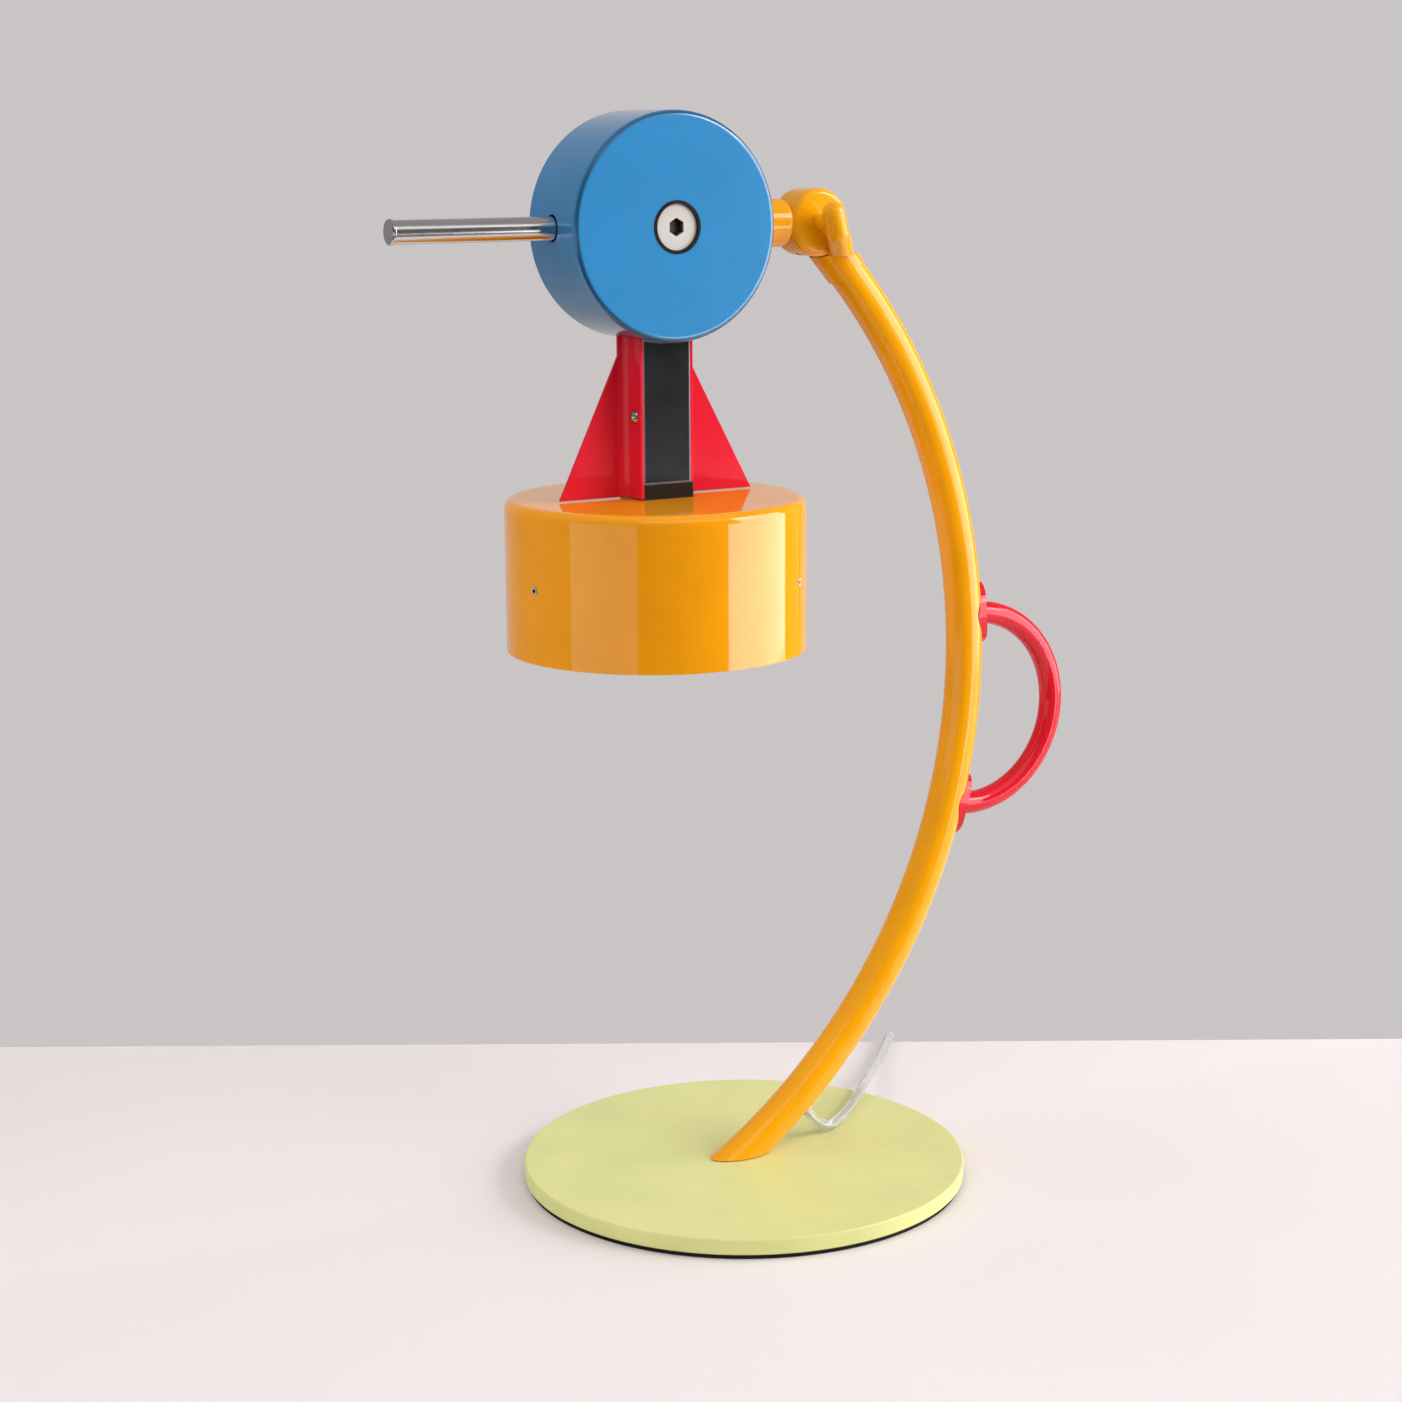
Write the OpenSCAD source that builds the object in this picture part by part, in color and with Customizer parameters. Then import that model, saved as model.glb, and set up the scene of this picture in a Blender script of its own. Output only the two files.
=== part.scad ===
// Table lamp with a round base, a bent tube arm, a carrying handle and a tilting head.
// Millimetres. Z is up, the origin is the middle of the base's underside.
// The beak points to -X, the eye looks to -Y.

/* [Base] */
// Diameter of the base disc
base_d = 240; // [220:1:270]
// Thickness of the base disc
base_t = 8.5; // [7:0.5:11]
// Rounding of the disc's top edge
base_edge = 1; // [0.5:0.25:2]
// Thickness of the soft pad under the disc
pad_t = 2.5; // [1.5:0.5:4]
// How far the pad stays inside the disc's edge
pad_inset = 1.5; // [0.5:0.5:4]

/* [Arm] */
// Bend radius of the arm's centre line
arm_r = 319; // [310:1:330]
// Height of the bend's centre above the table
arm_h = 278; // [272:1:284]
// Outer diameter of the arm tube
arm_od = 20; // [19:0.5:21]
// Wall of the arm tube
arm_wall = 2; // [1.5:0.25:2.5]
// Place of the arm's foot along the disc
foot_x = -2; // [-6:1:4]
// Angle on the bend where the tube ends
arm_top_a = 41.3; // [39:0.1:42]

/* [Fork] */
// Distance from the tube's end to the pivot
fork_reach = 33.5; // [33:0.1:36]
// Outer diameter of the fork's collar
collar_d = 22; // [21.5:0.5:24]
// Height from the fork's level shoulder to the pivot
fork_drop = 16.5; // [15.5:0.5:18]
// Diameter of the two prongs
prong_d = 12; // [11.5:0.5:13]
// Diameter of the pivot bolt
pivot_d = 6; // [5:0.5:7]

/* [Handle] */
// Bend radius of the handle rod
handle_r = 54; // [48:1:60]
// Diameter of the handle rod
handle_d = 12.5; // [9:0.5:13]
// Place of the handle's middle on the arm's bend
handle_a = -5.9; // [-9:0.1:-3]
// Thickness of the saddle plates
saddle_t = 3; // [2:0.5:4]
// Length of a saddle plate
saddle_l = 34; // [32:1:38]
// Width of a saddle plate
saddle_w = 19; // [14:0.5:19.5]

/* [Head] */
// Distance from the pivot to the drum's centre
drum_off = 92.5; // [90:0.5:96]
// Outer diameter of the drum
drum_d = 114; // [112:1:116]
// Depth of the drum
drum_l = 50.5; // [50:0.5:54]
// Rounding of the drum's edges
drum_edge = 3; // [1:0.5:3.5]
// Diameter of the knuckle barrel
barrel_d = 35; // [32:0.5:36]
// Length of the knuckle barrel
barrel_l = 22; // [21.5:0.25:22.5]
// Rounding of the barrel's edges
barrel_edge = 3.4; // [1:0.2:4]
// Diameter of the eye's bolt head
eye_d = 22.8; // [20:0.2:23]
// Diameter of the dark ring round the eye
ring_d = 26.2; // [25:0.2:28]

/* [Beak] */
// Diameter of the beak rod
beak_d = 11.8; // [10:0.2:12]
// Diameter of the beak's end cap
beak_cap_d = 12.8; // [12.4:0.2:14]
// Distance from the drum's side to the beak's tip
beak_reach = 87; // [70:1:110]
// Turning gap round the beak in the drum's wall
beak_gap = 0.9; // [0.5:0.1:1.5]

/* [Neck] */
// Width of the post
post_w = 27; // [25:0.5:30]
// Depth of the post
post_dep = 26; // [25:0.5:30]
// Height of the foot under the post
post_foot_h = 8; // [6:0.5:12]
// Height from the shade's top to the drum's centre
neck_h = 136.5; // [130:0.5:146]
// Sheet thickness of the finned brackets
fin_t = 1.6; // [1.2:0.2:2]
// Reach of the left fin from the post's middle
fin_left_reach = 53.5; // [48:0.5:58]
// Reach of the right fin from the post's middle
fin_right_reach = 58; // [50:0.5:62]
// Height of the fins' slope above the shade
fin_rise = 72; // [66:0.5:74]

/* [Shade] */
// Outer diameter of the shade
shade_d = 155; // [148:1:165]
// Height of the shade
shade_h = 78.2; // [74:0.2:82]
// Wall of the shade
shade_wall = 1.5; // [1.25:0.25:2]
// Rounding of the shade's top edge
shade_edge = 5; // [2:0.5:7]
// Height of the set screws above the shade's mouth
grub_h = 37.5; // [34:0.5:40]

/* [Cord] */
// Diameter of the cord
cord_d = 5.5; // [5:0.25:6]

/* [Hidden] */
fine = 96;
fit = 0.05;
slide = 0.06;
z_top = pad_t + base_t;
arm_bore = arm_od - 2 * arm_wall;
arm_cx = foot_x - sqrt(arm_r * arm_r - (arm_h - z_top) * (arm_h - z_top));
foot_a = -asin((arm_h - z_top) / arm_r);
bolt_x = foot_x + 1;
dowel_x = foot_x + 11;
arm_end = [arm_cx + arm_r * cos(arm_top_a), 0, arm_h + arm_r * sin(arm_top_a)];
pivot_x = arm_end[0] - fork_reach * sin(arm_top_a);
head_z = arm_end[2] + fork_reach * cos(arm_top_a);
drum_x = pivot_x - drum_off;
drum_r = drum_d / 2;
wall = 2;
inner_r = drum_r - wall;
front_y = -drum_l / 2;
washer_t = 0.95;
boss_y = barrel_l / 2 + fit + washer_t;
// Middle line of the +Y prong, from the pivot
prong_pts = [[15.5, 8.5, -fork_drop - 2.5], [4, 21, -5], [0, 23.5, 5]];
boss_d = pivot_d + 3;
spot_y = 25.5;
blind_y = 20;
shoulder_z = head_z - fork_drop;
plug_in = 12;
handle_out = arm_r + arm_od / 2 - 2.2;
handle_c = [arm_cx + handle_out * cos(handle_a), 0, arm_h + handle_out * sin(handle_a)];
handle_half = 2 * asin(handle_r / (2 * (arm_r + arm_od / 2)));
saddle_up_a = handle_a + handle_half;
saddle_low_a = handle_a - handle_half;
saddle_screw = 10.5;
gland_up = 18;
gland_d = 7;
gland_in = arm_r + arm_od / 2 - arm_wall - 2;
gland_out = arm_r + arm_od / 2 + 0.8;
gland_a = -asin((arm_h - z_top - gland_up) / gland_out);
lead_d = 5.5;
stub_d = 24.6;
stub_in = 16;
foot_gap = 0.5;
face_t = 3;
eye_in = 0.9;
pocket = 2.2;
ring_out = 0.3;
spigot_d = 12;
coil_d = 74;
coil_h = 32;
pad_soft = 2;
plate_t = 2;
nut_t = 5;
cover_t = 2.5;
stack_y = front_y + face_t;
beak_tip = drum_x - drum_r - beak_reach;
beak_end = drum_x - inner_r + 2.3;
cap_l = 1.8;
switch_x = beak_end + 0.7;
switch_l = 13;
switch_w = 24;
spindle_d = 6;
shade_top = head_z - neck_h;
shade_low = shade_top - shade_h;
shade_r = shade_d / 2;
post_z0 = shade_top + post_foot_h;
post_x0 = drum_x - post_w / 2;
post_x1 = drum_x + post_w / 2;
fin_low = shade_top + 0.7;
fin_y = 2;
bend_r = 7;
fin_screw_y = -6.5;
fin_screw_z = shade_top + 42;
bolt_spread = [9.5, 8.5];
grub_z = shade_low + grub_h;
grub_a = [190, 310, 70];
grub_d = 4;
rim_t = 3;
// Cord's way on the disc, over its edge and along the table, for a disc of 240
route_d = 240;
on_disc = [[80.5, 21], [96, 35.6], [110.6, 51]];
off_disc = [136, 80];
on_table = [[163, 111], [186, 137]];
lay_gap = 0.15;
coil_c = [190, 208] * base_d / route_d;
coil_r0 = 24;
coil_step = 6;
coil_turns = 3.5;
coil_z = 4.25;
coil_in = 312;
coil_tail = 42;
plug_len = 24;
plug_t = 13.6;

yellow = "#eea414";
green = "#dcd990";
blue = "#3f90c9";
red = "#e0303c";
black = "#2e2d32";
steel = "#b9bbbd";
cream = "#cfcec8";

// Points of an arc in a plane, from angle a0 to a1
function arc_pts(c, r, a0, a1, n = 8) = [for (i = [0 : n]) c + r * [cos(a0 + (a1 - a0) * i / n),
    sin(a0 + (a1 - a0) * i / n)]];

// Solid piece of the arm's bend, of diameter d between two angles
module bend(d, a0, a1) {
    translate([arm_cx, 0, arm_h])
        rotate([90, 0, 0])
            rotate([0, 0, a0])
                rotate_extrude(angle = a1 - a0, $fn = 240)
                    translate([arm_r, 0])
                        circle(d = d, $fn = 48);
}

// Place with Z pointing out of the bend at an angle, from the bend's centre
module at_bend(a) {
    translate([arm_cx, 0, arm_h])
        rotate([0, 90 - a, 0])
            children();
}

// Place with Z along the fork from the tube's end
module in_fork() {
    translate(arm_end)
        rotate([0, -arm_top_a, 0])
            children();
}

// Place with Z along +Y
module along_y(p) {
    translate(p)
        rotate([-90, 0, 0])
            children();
}

// Place with Z along -X
module along_left(p) {
    translate(p)
        rotate([0, -90, 0])
            children();
}

// Cylinder about the drum's axis from y0 to y1
module drum_cyl(r, y0, y1) {
    along_y([drum_x, y0, head_z])
        cylinder(r = r, h = y1 - y0, $fn = fine);
}

// Hexagonal bar, Z up, measured across its flats
module hex(flats, h) {
    cylinder(d = flats / cos(30), h = h, $fn = 6);
}

// Countersunk bolt, head face at Z 0, pointing to +Z
module csk_bolt(head, head_h, d, l, key) {
    difference() {
        union() {
            cylinder(d1 = head, d2 = d, h = head_h, $fn = 48);
            cylinder(d = d, h = l, $fn = 48);
        }
        translate([0, 0, -1])
            hex(key, 1 + head_h * 0.7);
    }
}

// Cap bolt with a round head above Z 0 and its shank below
module cap_bolt(head, head_h, d, l, key) {
    difference() {
        union() {
            cylinder(d = head, h = head_h, $fn = 48);
            translate([0, 0, -l])
                cylinder(d = d, h = l + 0.5, $fn = 48);
        }
        translate([0, 0, head_h * 0.4])
            hex(key, head_h);
    }
}

// Dome-headed screw, head above Z 0 and its shank below
module dome_screw(head, head_h, d, l) {
    dome_r = (head * head / 4 + head_h * head_h) / (2 * head_h);
    reach = asin(head / 2 / dome_r);
    difference() {
        union() {
            rotate_extrude($fn = 48)
                polygon(concat([[0, 0]], arc_pts([0, head_h - dome_r], dome_r, 90 - reach, 90, 8)));
            translate([0, 0, -l])
                cylinder(d = d, h = l + 0.5, $fn = 32);
        }
        translate([-head * 0.36, -0.45, head_h * 0.45])
            cube([head * 0.72, 0.9, head_h]);
    }
}

module base_disc() {
    color(green)
        difference() {
            translate([0, 0, pad_t])
                rotate_extrude($fn = 180)
                    polygon(concat([[0, 0], [base_d / 2 - 0.5, 0], [base_d / 2, 0.5]],
                        arc_pts([base_d / 2 - base_edge, base_t - base_edge], base_edge, 0, 90),
                        [[0, base_t]]));
            translate([bolt_x, 0, pad_t - 1])
                cylinder(d = 6.4, h = base_t + 2, $fn = 48);
            translate([bolt_x, 0, pad_t - 0.01])
                cylinder(d1 = 12.6, d2 = 6.4, h = 3.6, $fn = 48);
            translate([dowel_x, 0, pad_t + 3])
                cylinder(d = 4 + 2 * fit, h = base_t, $fn = 32);
        }
}

module base_pad() {
    color(black)
        cylinder(d = base_d - 2 * pad_inset, h = pad_t, $fn = 180);
}

module arm_tube() {
    color(yellow)
        difference() {
            bend(arm_od, foot_a - 6, arm_top_a);
            bend(arm_bore, foot_a - 7, arm_top_a + 1);
            translate([-200, -200, z_top + foot_gap - 400])
                cube([400, 400, 400]);
            at_bend(gland_a)
                translate([0, 0, arm_r])
                    cylinder(d = gland_d, h = arm_od, $fn = 48);
            handle_bores(4 + 2 * fit);
        }
}

// Cross bores for the two handle screws
module handle_bores(d) {
    at_bend(saddle_up_a)
        translate([-saddle_screw, 0, arm_r])
            cylinder(d = d, h = arm_od, $fn = 32);
    at_bend(saddle_low_a)
        translate([saddle_screw, 0, arm_r])
            cylinder(d = d, h = arm_od, $fn = 32);
}

module foot_plug() {
    color(steel)
        difference() {
            bend(arm_bore - 2 * fit, foot_a - 6, foot_a + 5);
            translate([-200, -200, z_top - 400])
                cube([400, 400, 400]);
            translate([bolt_x, 0, z_top - 1])
                cylinder(d = 6 + 2 * fit, h = 8.6, $fn = 48);
            translate([dowel_x, 0, z_top - 1])
                cylinder(d = 4 + 2 * fit, h = 9.5, $fn = 32);
        }
}

module foot_bolt() {
    color(steel)
        translate([bolt_x, 0, pad_t + 0.2])
            csk_bolt(12, 3.3, 6, base_t + 6.6, 4);
}

module foot_dowel() {
    color(steel)
        translate([dowel_x, 0, pad_t + 3])
            cylinder(d = 4, h = base_t + 5, $fn = 32);
}

module cord_gland() {
    color(black)
        union() {
            at_bend(gland_a)
                translate([0, 0, gland_in])
                    cylinder(d = gland_d - 2 * fit, h = gland_out - gland_in, $fn = 48);
            difference() {
                at_bend(gland_a)
                    translate([0, 0, arm_r + arm_od / 2 - 1.5])
                        cylinder(d = gland_d + 1.6, h = 2, $fn = 48);
                bend(arm_od + 2 * 0.02, gland_a - 4, gland_a + 4);
            }
        }
}

module arm_lead() {
    color(black)
        union() {
            bend(lead_d, gland_a, arm_top_a);
            at_bend(gland_a)
                translate([0, 0, arm_r])
                    cylinder(d = lead_d - 0.3, h = gland_in - arm_r, $fn = 32);
            at_bend(gland_a)
                translate([0, 0, arm_r])
                    sphere(d = lead_d, $fn = 32);
            in_fork()
                translate([0, 0, -1])
                    cylinder(d = lead_d - 0.2, h = 9, $fn = 32);
        }
}

// Round bar with round ends between two points
module capsule(p, q, d) {
    v = q - p;
    l = norm(v);
    translate(p)
        rotate([0, acos(v[2] / l), atan2(v[1], v[0])])
            rotate_extrude($fn = 48)
                polygon(concat(arc_pts([0, 0], d / 2, -90, 0, 12), arc_pts([0, l], d / 2, 0, 90, 12)));
}

// One prong on the +Y side, leaning out from the collar and then up, with the boss inside it
module prong() {
    translate([pivot_x, 0, head_z]) {
        capsule(prong_pts[0], prong_pts[1], prong_d + 0.3);
        capsule(prong_pts[1], prong_pts[2], prong_d);
        translate([0, boss_y, 0])
            rotate([-90, 0, 0])
                cylinder(d = boss_d, h = prong_pts[1][1] - boss_y, $fn = 48);
    }
}

module arm_fork() {
    color(yellow)
        difference() {
            union() {
                in_fork()
                    translate([0, 0, -plug_in])
                        cylinder(d = arm_bore - 0.8, h = plug_in + 1.5, $fn = 48);
                difference() {
                    in_fork()
                        cylinder(d = collar_d, h = 40, $fn = 64);
                    translate([pivot_x - 100, -50, shoulder_z])
                        cube([200, 100, 100]);
                }
                difference() {
                    union() {
                        prong();
                        mirror([0, 1, 0])
                            prong();
                    }
                    translate([pivot_x - 100, -50, shoulder_z - 100.6])
                        cube([200, 100, 100]);
                }
            }
            along_y([pivot_x, -boss_y, head_z])
                cylinder(d = barrel_d + 1.6, h = 2 * boss_y, $fn = fine);
            along_y([pivot_x, -blind_y, head_z])
                cylinder(d = pivot_d + 2 * fit, h = 80, $fn = 48);
            along_y([pivot_x, spot_y, head_z])
                cylinder(d = boss_d + 0.4, h = 30, $fn = 48);
            in_fork()
                translate([0, 0, -plug_in - 1])
                    cylinder(d = lead_d + 0.8, h = plug_in + 40, $fn = 32);
        }
}

// Thin washer between a prong and the barrel, from y0 towards +Y
module friction_washer(y0) {
    color(cream)
        along_y([pivot_x, y0, head_z])
            difference() {
                cylinder(d = boss_d, h = washer_t, $fn = 48);
                translate([0, 0, -1])
                    cylinder(d = pivot_d + 2 * fit, h = 4, $fn = 48);
            }
}

module friction_washer_front() {
    friction_washer(-boss_y);
}

module friction_washer_rear() {
    friction_washer(barrel_l / 2 + fit);
}

module pivot_bolt() {
    color(steel)
        along_y([pivot_x, spot_y, head_z])
            cap_bolt(boss_d - 0.4, 2.8, pivot_d, spot_y + blind_y - 0.5, 4);
}

module handle_rod() {
    color(red)
        difference() {
            translate(handle_c)
                rotate([90, 0, 0])
                    rotate([0, 0, handle_a - 97])
                        rotate_extrude(angle = 194, $fn = 180)
                            translate([handle_r, 0])
                                circle(d = handle_d, $fn = 40);
            bend(arm_od + 2 * saddle_t, saddle_low_a - 4, saddle_up_a + 4);
        }
}

// Leaf-shaped plate lying on the arm
module saddle(a, screw) {
    leaf_r = (saddle_l * saddle_l / 4 + saddle_w * saddle_w / 4) / saddle_w;
    color(red)
        difference() {
            intersection() {
                bend(arm_od + 2 * saddle_t, a - 4, a + 4);
                at_bend(a)
                    translate([0, 0, arm_r])
                        intersection() {
                            translate([0, leaf_r - saddle_w / 2, 0])
                                cylinder(r = leaf_r, h = 40, $fn = 120);
                            translate([0, saddle_w / 2 - leaf_r, 0])
                                cylinder(r = leaf_r, h = 40, $fn = 120);
                        }
            }
            bend(arm_od + 2 * 0.02, a - 5, a + 5);
            at_bend(a)
                translate([screw, 0, arm_r])
                    cylinder(d = 4 + 2 * fit, h = 40, $fn = 32);
            at_bend(a)
                translate([screw, 0, arm_r + arm_od / 2 + saddle_t - 0.8])
                    cylinder(d = 7.4, h = 10, $fn = 32);
        }
}

module saddle_upper() {
    saddle(saddle_up_a, -saddle_screw);
}

module saddle_lower() {
    saddle(saddle_low_a, saddle_screw);
}

// Dark dome screw that holds a saddle to the tube
module handle_screw(a, screw) {
    color(black)
        at_bend(a)
            translate([screw, 0, arm_r + arm_od / 2 + saddle_t - 0.8])
                dome_screw(7, 2.4, 4, saddle_t + arm_wall + 1.5);
}

module handle_screw_upper() {
    handle_screw(saddle_up_a, -saddle_screw);
}

module handle_screw_lower() {
    handle_screw(saddle_low_a, saddle_screw);
}

module knuckle() {
    half = barrel_l / 2;
    flat = barrel_d / 2 - barrel_edge;
    stub_l = drum_off - stub_in - 30;
    color(yellow)
        difference() {
            union() {
                along_y([pivot_x, 0, head_z])
                    rotate_extrude($fn = fine)
                        polygon(concat([[0, -half]],
                            arc_pts([flat, barrel_edge - half], barrel_edge, -90, 0, 8),
                            arc_pts([flat, half - barrel_edge], barrel_edge, 0, 90, 8),
                            [[0, half]]));
                difference() {
                    along_left([pivot_x - stub_in, 0, head_z])
                        rotate_extrude($fn = 64)
                            polygon(concat([[0, 0]], arc_pts([stub_d / 2 - 3, 3], 3, -90, 0, 8),
                                [[stub_d / 2, stub_l], [0, stub_l]]));
                    drum_cyl(drum_r + 0.02, -40, 40);
                }
                along_left([pivot_x - 8, 0, head_z])
                    cylinder(d = 17, h = stub_in, $fn = 48);
                along_left([pivot_x - stub_in - 1, 0, head_z])
                    cylinder(d = spigot_d, h = drum_off - inner_r - stub_in - 1 + 8.5, $fn = 48);
            }
            along_y([pivot_x, -20, head_z])
                cylinder(d = pivot_d + 2 * slide, h = 40, $fn = 48);
            along_left([pivot_x - 6, 0, head_z])
                cylinder(d = 6, h = drum_off, $fn = 32);
            translate([pivot_x - 5.8, 0, head_z - barrel_d])
                cylinder(d = 4.4, h = barrel_d, $fn = 32);
        }
}

module stub_nut() {
    color(steel)
        difference() {
            along_left([drum_x + inner_r + 1, 0, head_z])
                hex(19, 8);
            along_left([drum_x + inner_r + 3, 0, head_z])
                cylinder(d = spigot_d + 2 * fit, h = 20, $fn = 48);
            difference() {
                drum_cyl(drum_r + 20, -30, 30);
                drum_cyl(inner_r - 0.02, -31, 31);
            }
        }
}

// Half section of the drum's shell: radius, and height towards the eye
function shell_pts() = concat([[0, drum_l / 2 - face_t], [inner_r, drum_l / 2 - face_t],
    [inner_r, -drum_l / 2], [drum_r - 0.8, -drum_l / 2], [drum_r, 0.8 - drum_l / 2]],
    arc_pts([drum_r - drum_edge, drum_l / 2 - drum_edge], drum_edge, 0, 90), [[0, drum_l / 2]]);

module drum_shell() {
    color(blue)
        difference() {
            translate([drum_x, 0, head_z])
                rotate([90, 0, 0])
                    rotate_extrude($fn = 180)
                        polygon(shell_pts());
            drum_cyl(5.2, front_y - 1, front_y + 6);
            drum_cyl(ring_d / 2 + fit, front_y - 1, front_y + pocket);
            along_left([drum_x - inner_r + 6, 0, head_z])
                cylinder(d = beak_d + 2 * beak_gap, h = 20, $fn = 48);
            along_left([drum_x + drum_r + 6, 0, head_z])
                cylinder(d = spigot_d + 2 * fit, h = 20, $fn = 48);
            for (s = [-1, 1])
                translate([drum_x + s * 9.5, 0, head_z - drum_r - 5])
                    cylinder(d = 5.2, h = 20, $fn = 32);
            translate([drum_x, 0, head_z - drum_r - 5])
                cylinder(d = lead_d + 2 * fit, h = 20, $fn = 32);
        }
}

module drum_cover() {
    color(blue)
        difference() {
            drum_cyl(inner_r - fit, -front_y - cover_t, -front_y);
            drum_cyl(5 + fit, -front_y - 9, -front_y + 9);
        }
}

module cover_nut() {
    dome = 7.6;
    color(steel)
        along_y([drum_x, -front_y, head_z])
            difference() {
                union() {
                    hex(15, 4.5);
                    translate([0, 0, 4.5])
                        rotate_extrude($fn = 48)
                            polygon(concat([[0, -0.5], [dome - 0.6, -0.5]],
                                arc_pts([0, 0], dome - 0.6, 0, 90, 10)));
                }
                translate([0, 0, -1])
                    cylinder(d = 10 + 2 * fit, h = 6, $fn = 48);
            }
}

module transformer() {
    edge = 6;
    r0 = 13;
    r1 = coil_d / 2;
    color("#c9a94e")
        along_y([drum_x, stack_y + pad_soft, head_z])
            rotate_extrude($fn = fine)
                polygon(concat(arc_pts([r0 + edge, edge], edge, 180, 270, 6),
                    arc_pts([r1 - edge, edge], edge, 270, 360, 6),
                    arc_pts([r1 - edge, coil_h - edge], edge, 0, 90, 6),
                    arc_pts([r0 + edge, coil_h - edge], edge, 90, 180, 6)));
}

// Soft ring pad against one side of the transformer
module soft_pad(y0) {
    color(black)
        along_y([drum_x, y0, head_z])
            difference() {
                cylinder(d = coil_d - 4, h = pad_soft, $fn = fine);
                translate([0, 0, -1])
                    cylinder(d = 10.6, h = pad_soft + 2, $fn = 48);
            }
}

module pad_front() {
    soft_pad(stack_y);
}

module pad_rear() {
    soft_pad(stack_y + pad_soft + coil_h);
}

module clamp_plate() {
    color(steel)
        along_y([drum_x, stack_y + 2 * pad_soft + coil_h, head_z])
            difference() {
                cylinder(d = coil_d - 8, h = plate_t, $fn = fine);
                translate([0, 0, -1])
                    cylinder(d = 10 + 2 * fit, h = plate_t + 2, $fn = 48);
            }
}

module eye_bolt() {
    color(cream)
        along_y([drum_x, front_y + eye_in, head_z])
            difference() {
                union() {
                    cylinder(d = eye_d, h = pocket - eye_in, $fn = 64);
                    cylinder(d = 10, h = drum_l - eye_in + 4.5, $fn = 48);
                }
                translate([0, 0, -1])
                    rotate([0, 0, 30])
                        hex(8, 5);
            }
}

module eye_ring() {
    color(black)
        along_y([drum_x, front_y - ring_out, head_z])
            difference() {
                cylinder(d = ring_d, h = pocket + ring_out, $fn = 64);
                translate([0, 0, -1])
                    cylinder(d = eye_d + 2 * fit, h = pocket + ring_out + 2, $fn = 64);
            }
}

module eye_nut() {
    color(steel)
        along_y([drum_x, stack_y + 2 * pad_soft + coil_h + plate_t, head_z])
            difference() {
                hex(17, nut_t);
                translate([0, 0, -1])
                    cylinder(d = 10 + 2 * fit, h = nut_t + 2, $fn = 48);
            }
}

module switch_body() {
    color(black)
        difference() {
            translate([switch_x, -switch_w / 2, head_z - switch_w / 2])
                cube([switch_l, switch_w, switch_w]);
            along_left([switch_x + switch_l - 3, 0, head_z])
                cylinder(d = spindle_d + 2 * slide, h = 20, $fn = 32);
        }
}

module switch_carrier() {
    color("#d8d4c8")
        translate([switch_x + 1, stack_y, head_z - 10])
            cube([switch_l - 2, -switch_w / 2 - stack_y, 20]);
}

module beak_rod() {
    color(steel)
        difference() {
            along_left([beak_end, 0, head_z])
                cylinder(d = beak_d, h = beak_end - beak_tip - cap_l, $fn = 64);
            along_left([beak_end + 1, 0, head_z])
                cylinder(d = spindle_d + 2 * fit, h = 17, $fn = 32);
            along_left([beak_tip + 14.5, 0, head_z])
                cylinder(d = 7 + 2 * fit, h = 20, $fn = 32);
        }
}

module beak_cap() {
    color(steel)
        union() {
            along_left([beak_tip + cap_l, 0, head_z])
                rotate_extrude($fn = 64)
                    polygon([[0, 0], [beak_cap_d / 2 - 0.3, 0], [beak_cap_d / 2, 0.3],
                        [beak_cap_d / 2, cap_l - 0.5], [beak_cap_d / 2 - 0.5, cap_l], [0, cap_l]]);
            along_left([beak_tip + 13, 0, head_z])
                cylinder(d = 7, h = 13.5 - cap_l, $fn = 32);
        }
}

module switch_spindle() {
    color(steel)
        along_left([switch_x + switch_l - 4, 0, head_z])
            cylinder(d = spindle_d, h = switch_l - 4 + 0.7 + 15, $fn = 32);
}

// Vertical bores shared by the post and its foot
module neck_bores() {
    for (s = [-1, 1])
        translate([drum_x + s * bolt_spread[0], s * bolt_spread[1], shade_top - 1])
            cylinder(d = 5 + 2 * fit, h = post_foot_h + 17, $fn = 32);
    translate([drum_x, 0, shade_top - 1])
        cylinder(d = lead_d + 2 * fit, h = 120, $fn = 32);
}

module post() {
    color(black)
        difference() {
            translate([post_x0, -post_dep / 2, post_z0])
                cube([post_w, post_dep, head_z - drum_r + 8 - post_z0]);
            drum_cyl(drum_r + 0.02, -40, 40);
            neck_bores();
            for (s = [-1, 1])
                translate([drum_x + s * 9.5, 0, head_z - drum_r - 14])
                    cylinder(d = 5 + 2 * fit, h = 30, $fn = 32);
            for (s = [-1, 1])
                translate([drum_x + s * (post_w / 2 + 1), fin_screw_y, fin_screw_z])
                    rotate([0, -90 * s, 0])
                        cylinder(d = 4 + 2 * fit, h = 9.2, $fn = 32);
        }
}

module post_foot() {
    color(black)
        difference() {
            translate([post_x0, -post_dep / 2, shade_top])
                cube([post_w + fin_t, post_dep, post_foot_h]);
            neck_bores();
        }
}

module post_clamp() {
    color(steel)
        difference() {
            translate([drum_x - 16, -8, head_z - drum_r])
                cube([32, 16, 7]);
            difference() {
                drum_cyl(drum_r + 20, -30, 30);
                drum_cyl(inner_r - 0.02, -31, 31);
            }
            for (s = [-1, 1])
                translate([drum_x + s * 9.5, 0, head_z - drum_r - 5])
                    cylinder(d = 5 + 2 * fit, h = 30, $fn = 32);
            translate([drum_x, 0, head_z - drum_r - 5])
                cylinder(d = lead_d + 2 * fit, h = 30, $fn = 32);
        }
}

// Cap bolt from inside the drum into the post, on one side
module post_bolt(s) {
    color(steel)
        translate([drum_x + s * 9.5, 0, head_z - drum_r + 7])
            cap_bolt(8.5, 4, 5, 20, 3);
}

module post_bolt_left() {
    post_bolt(-1);
}

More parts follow.
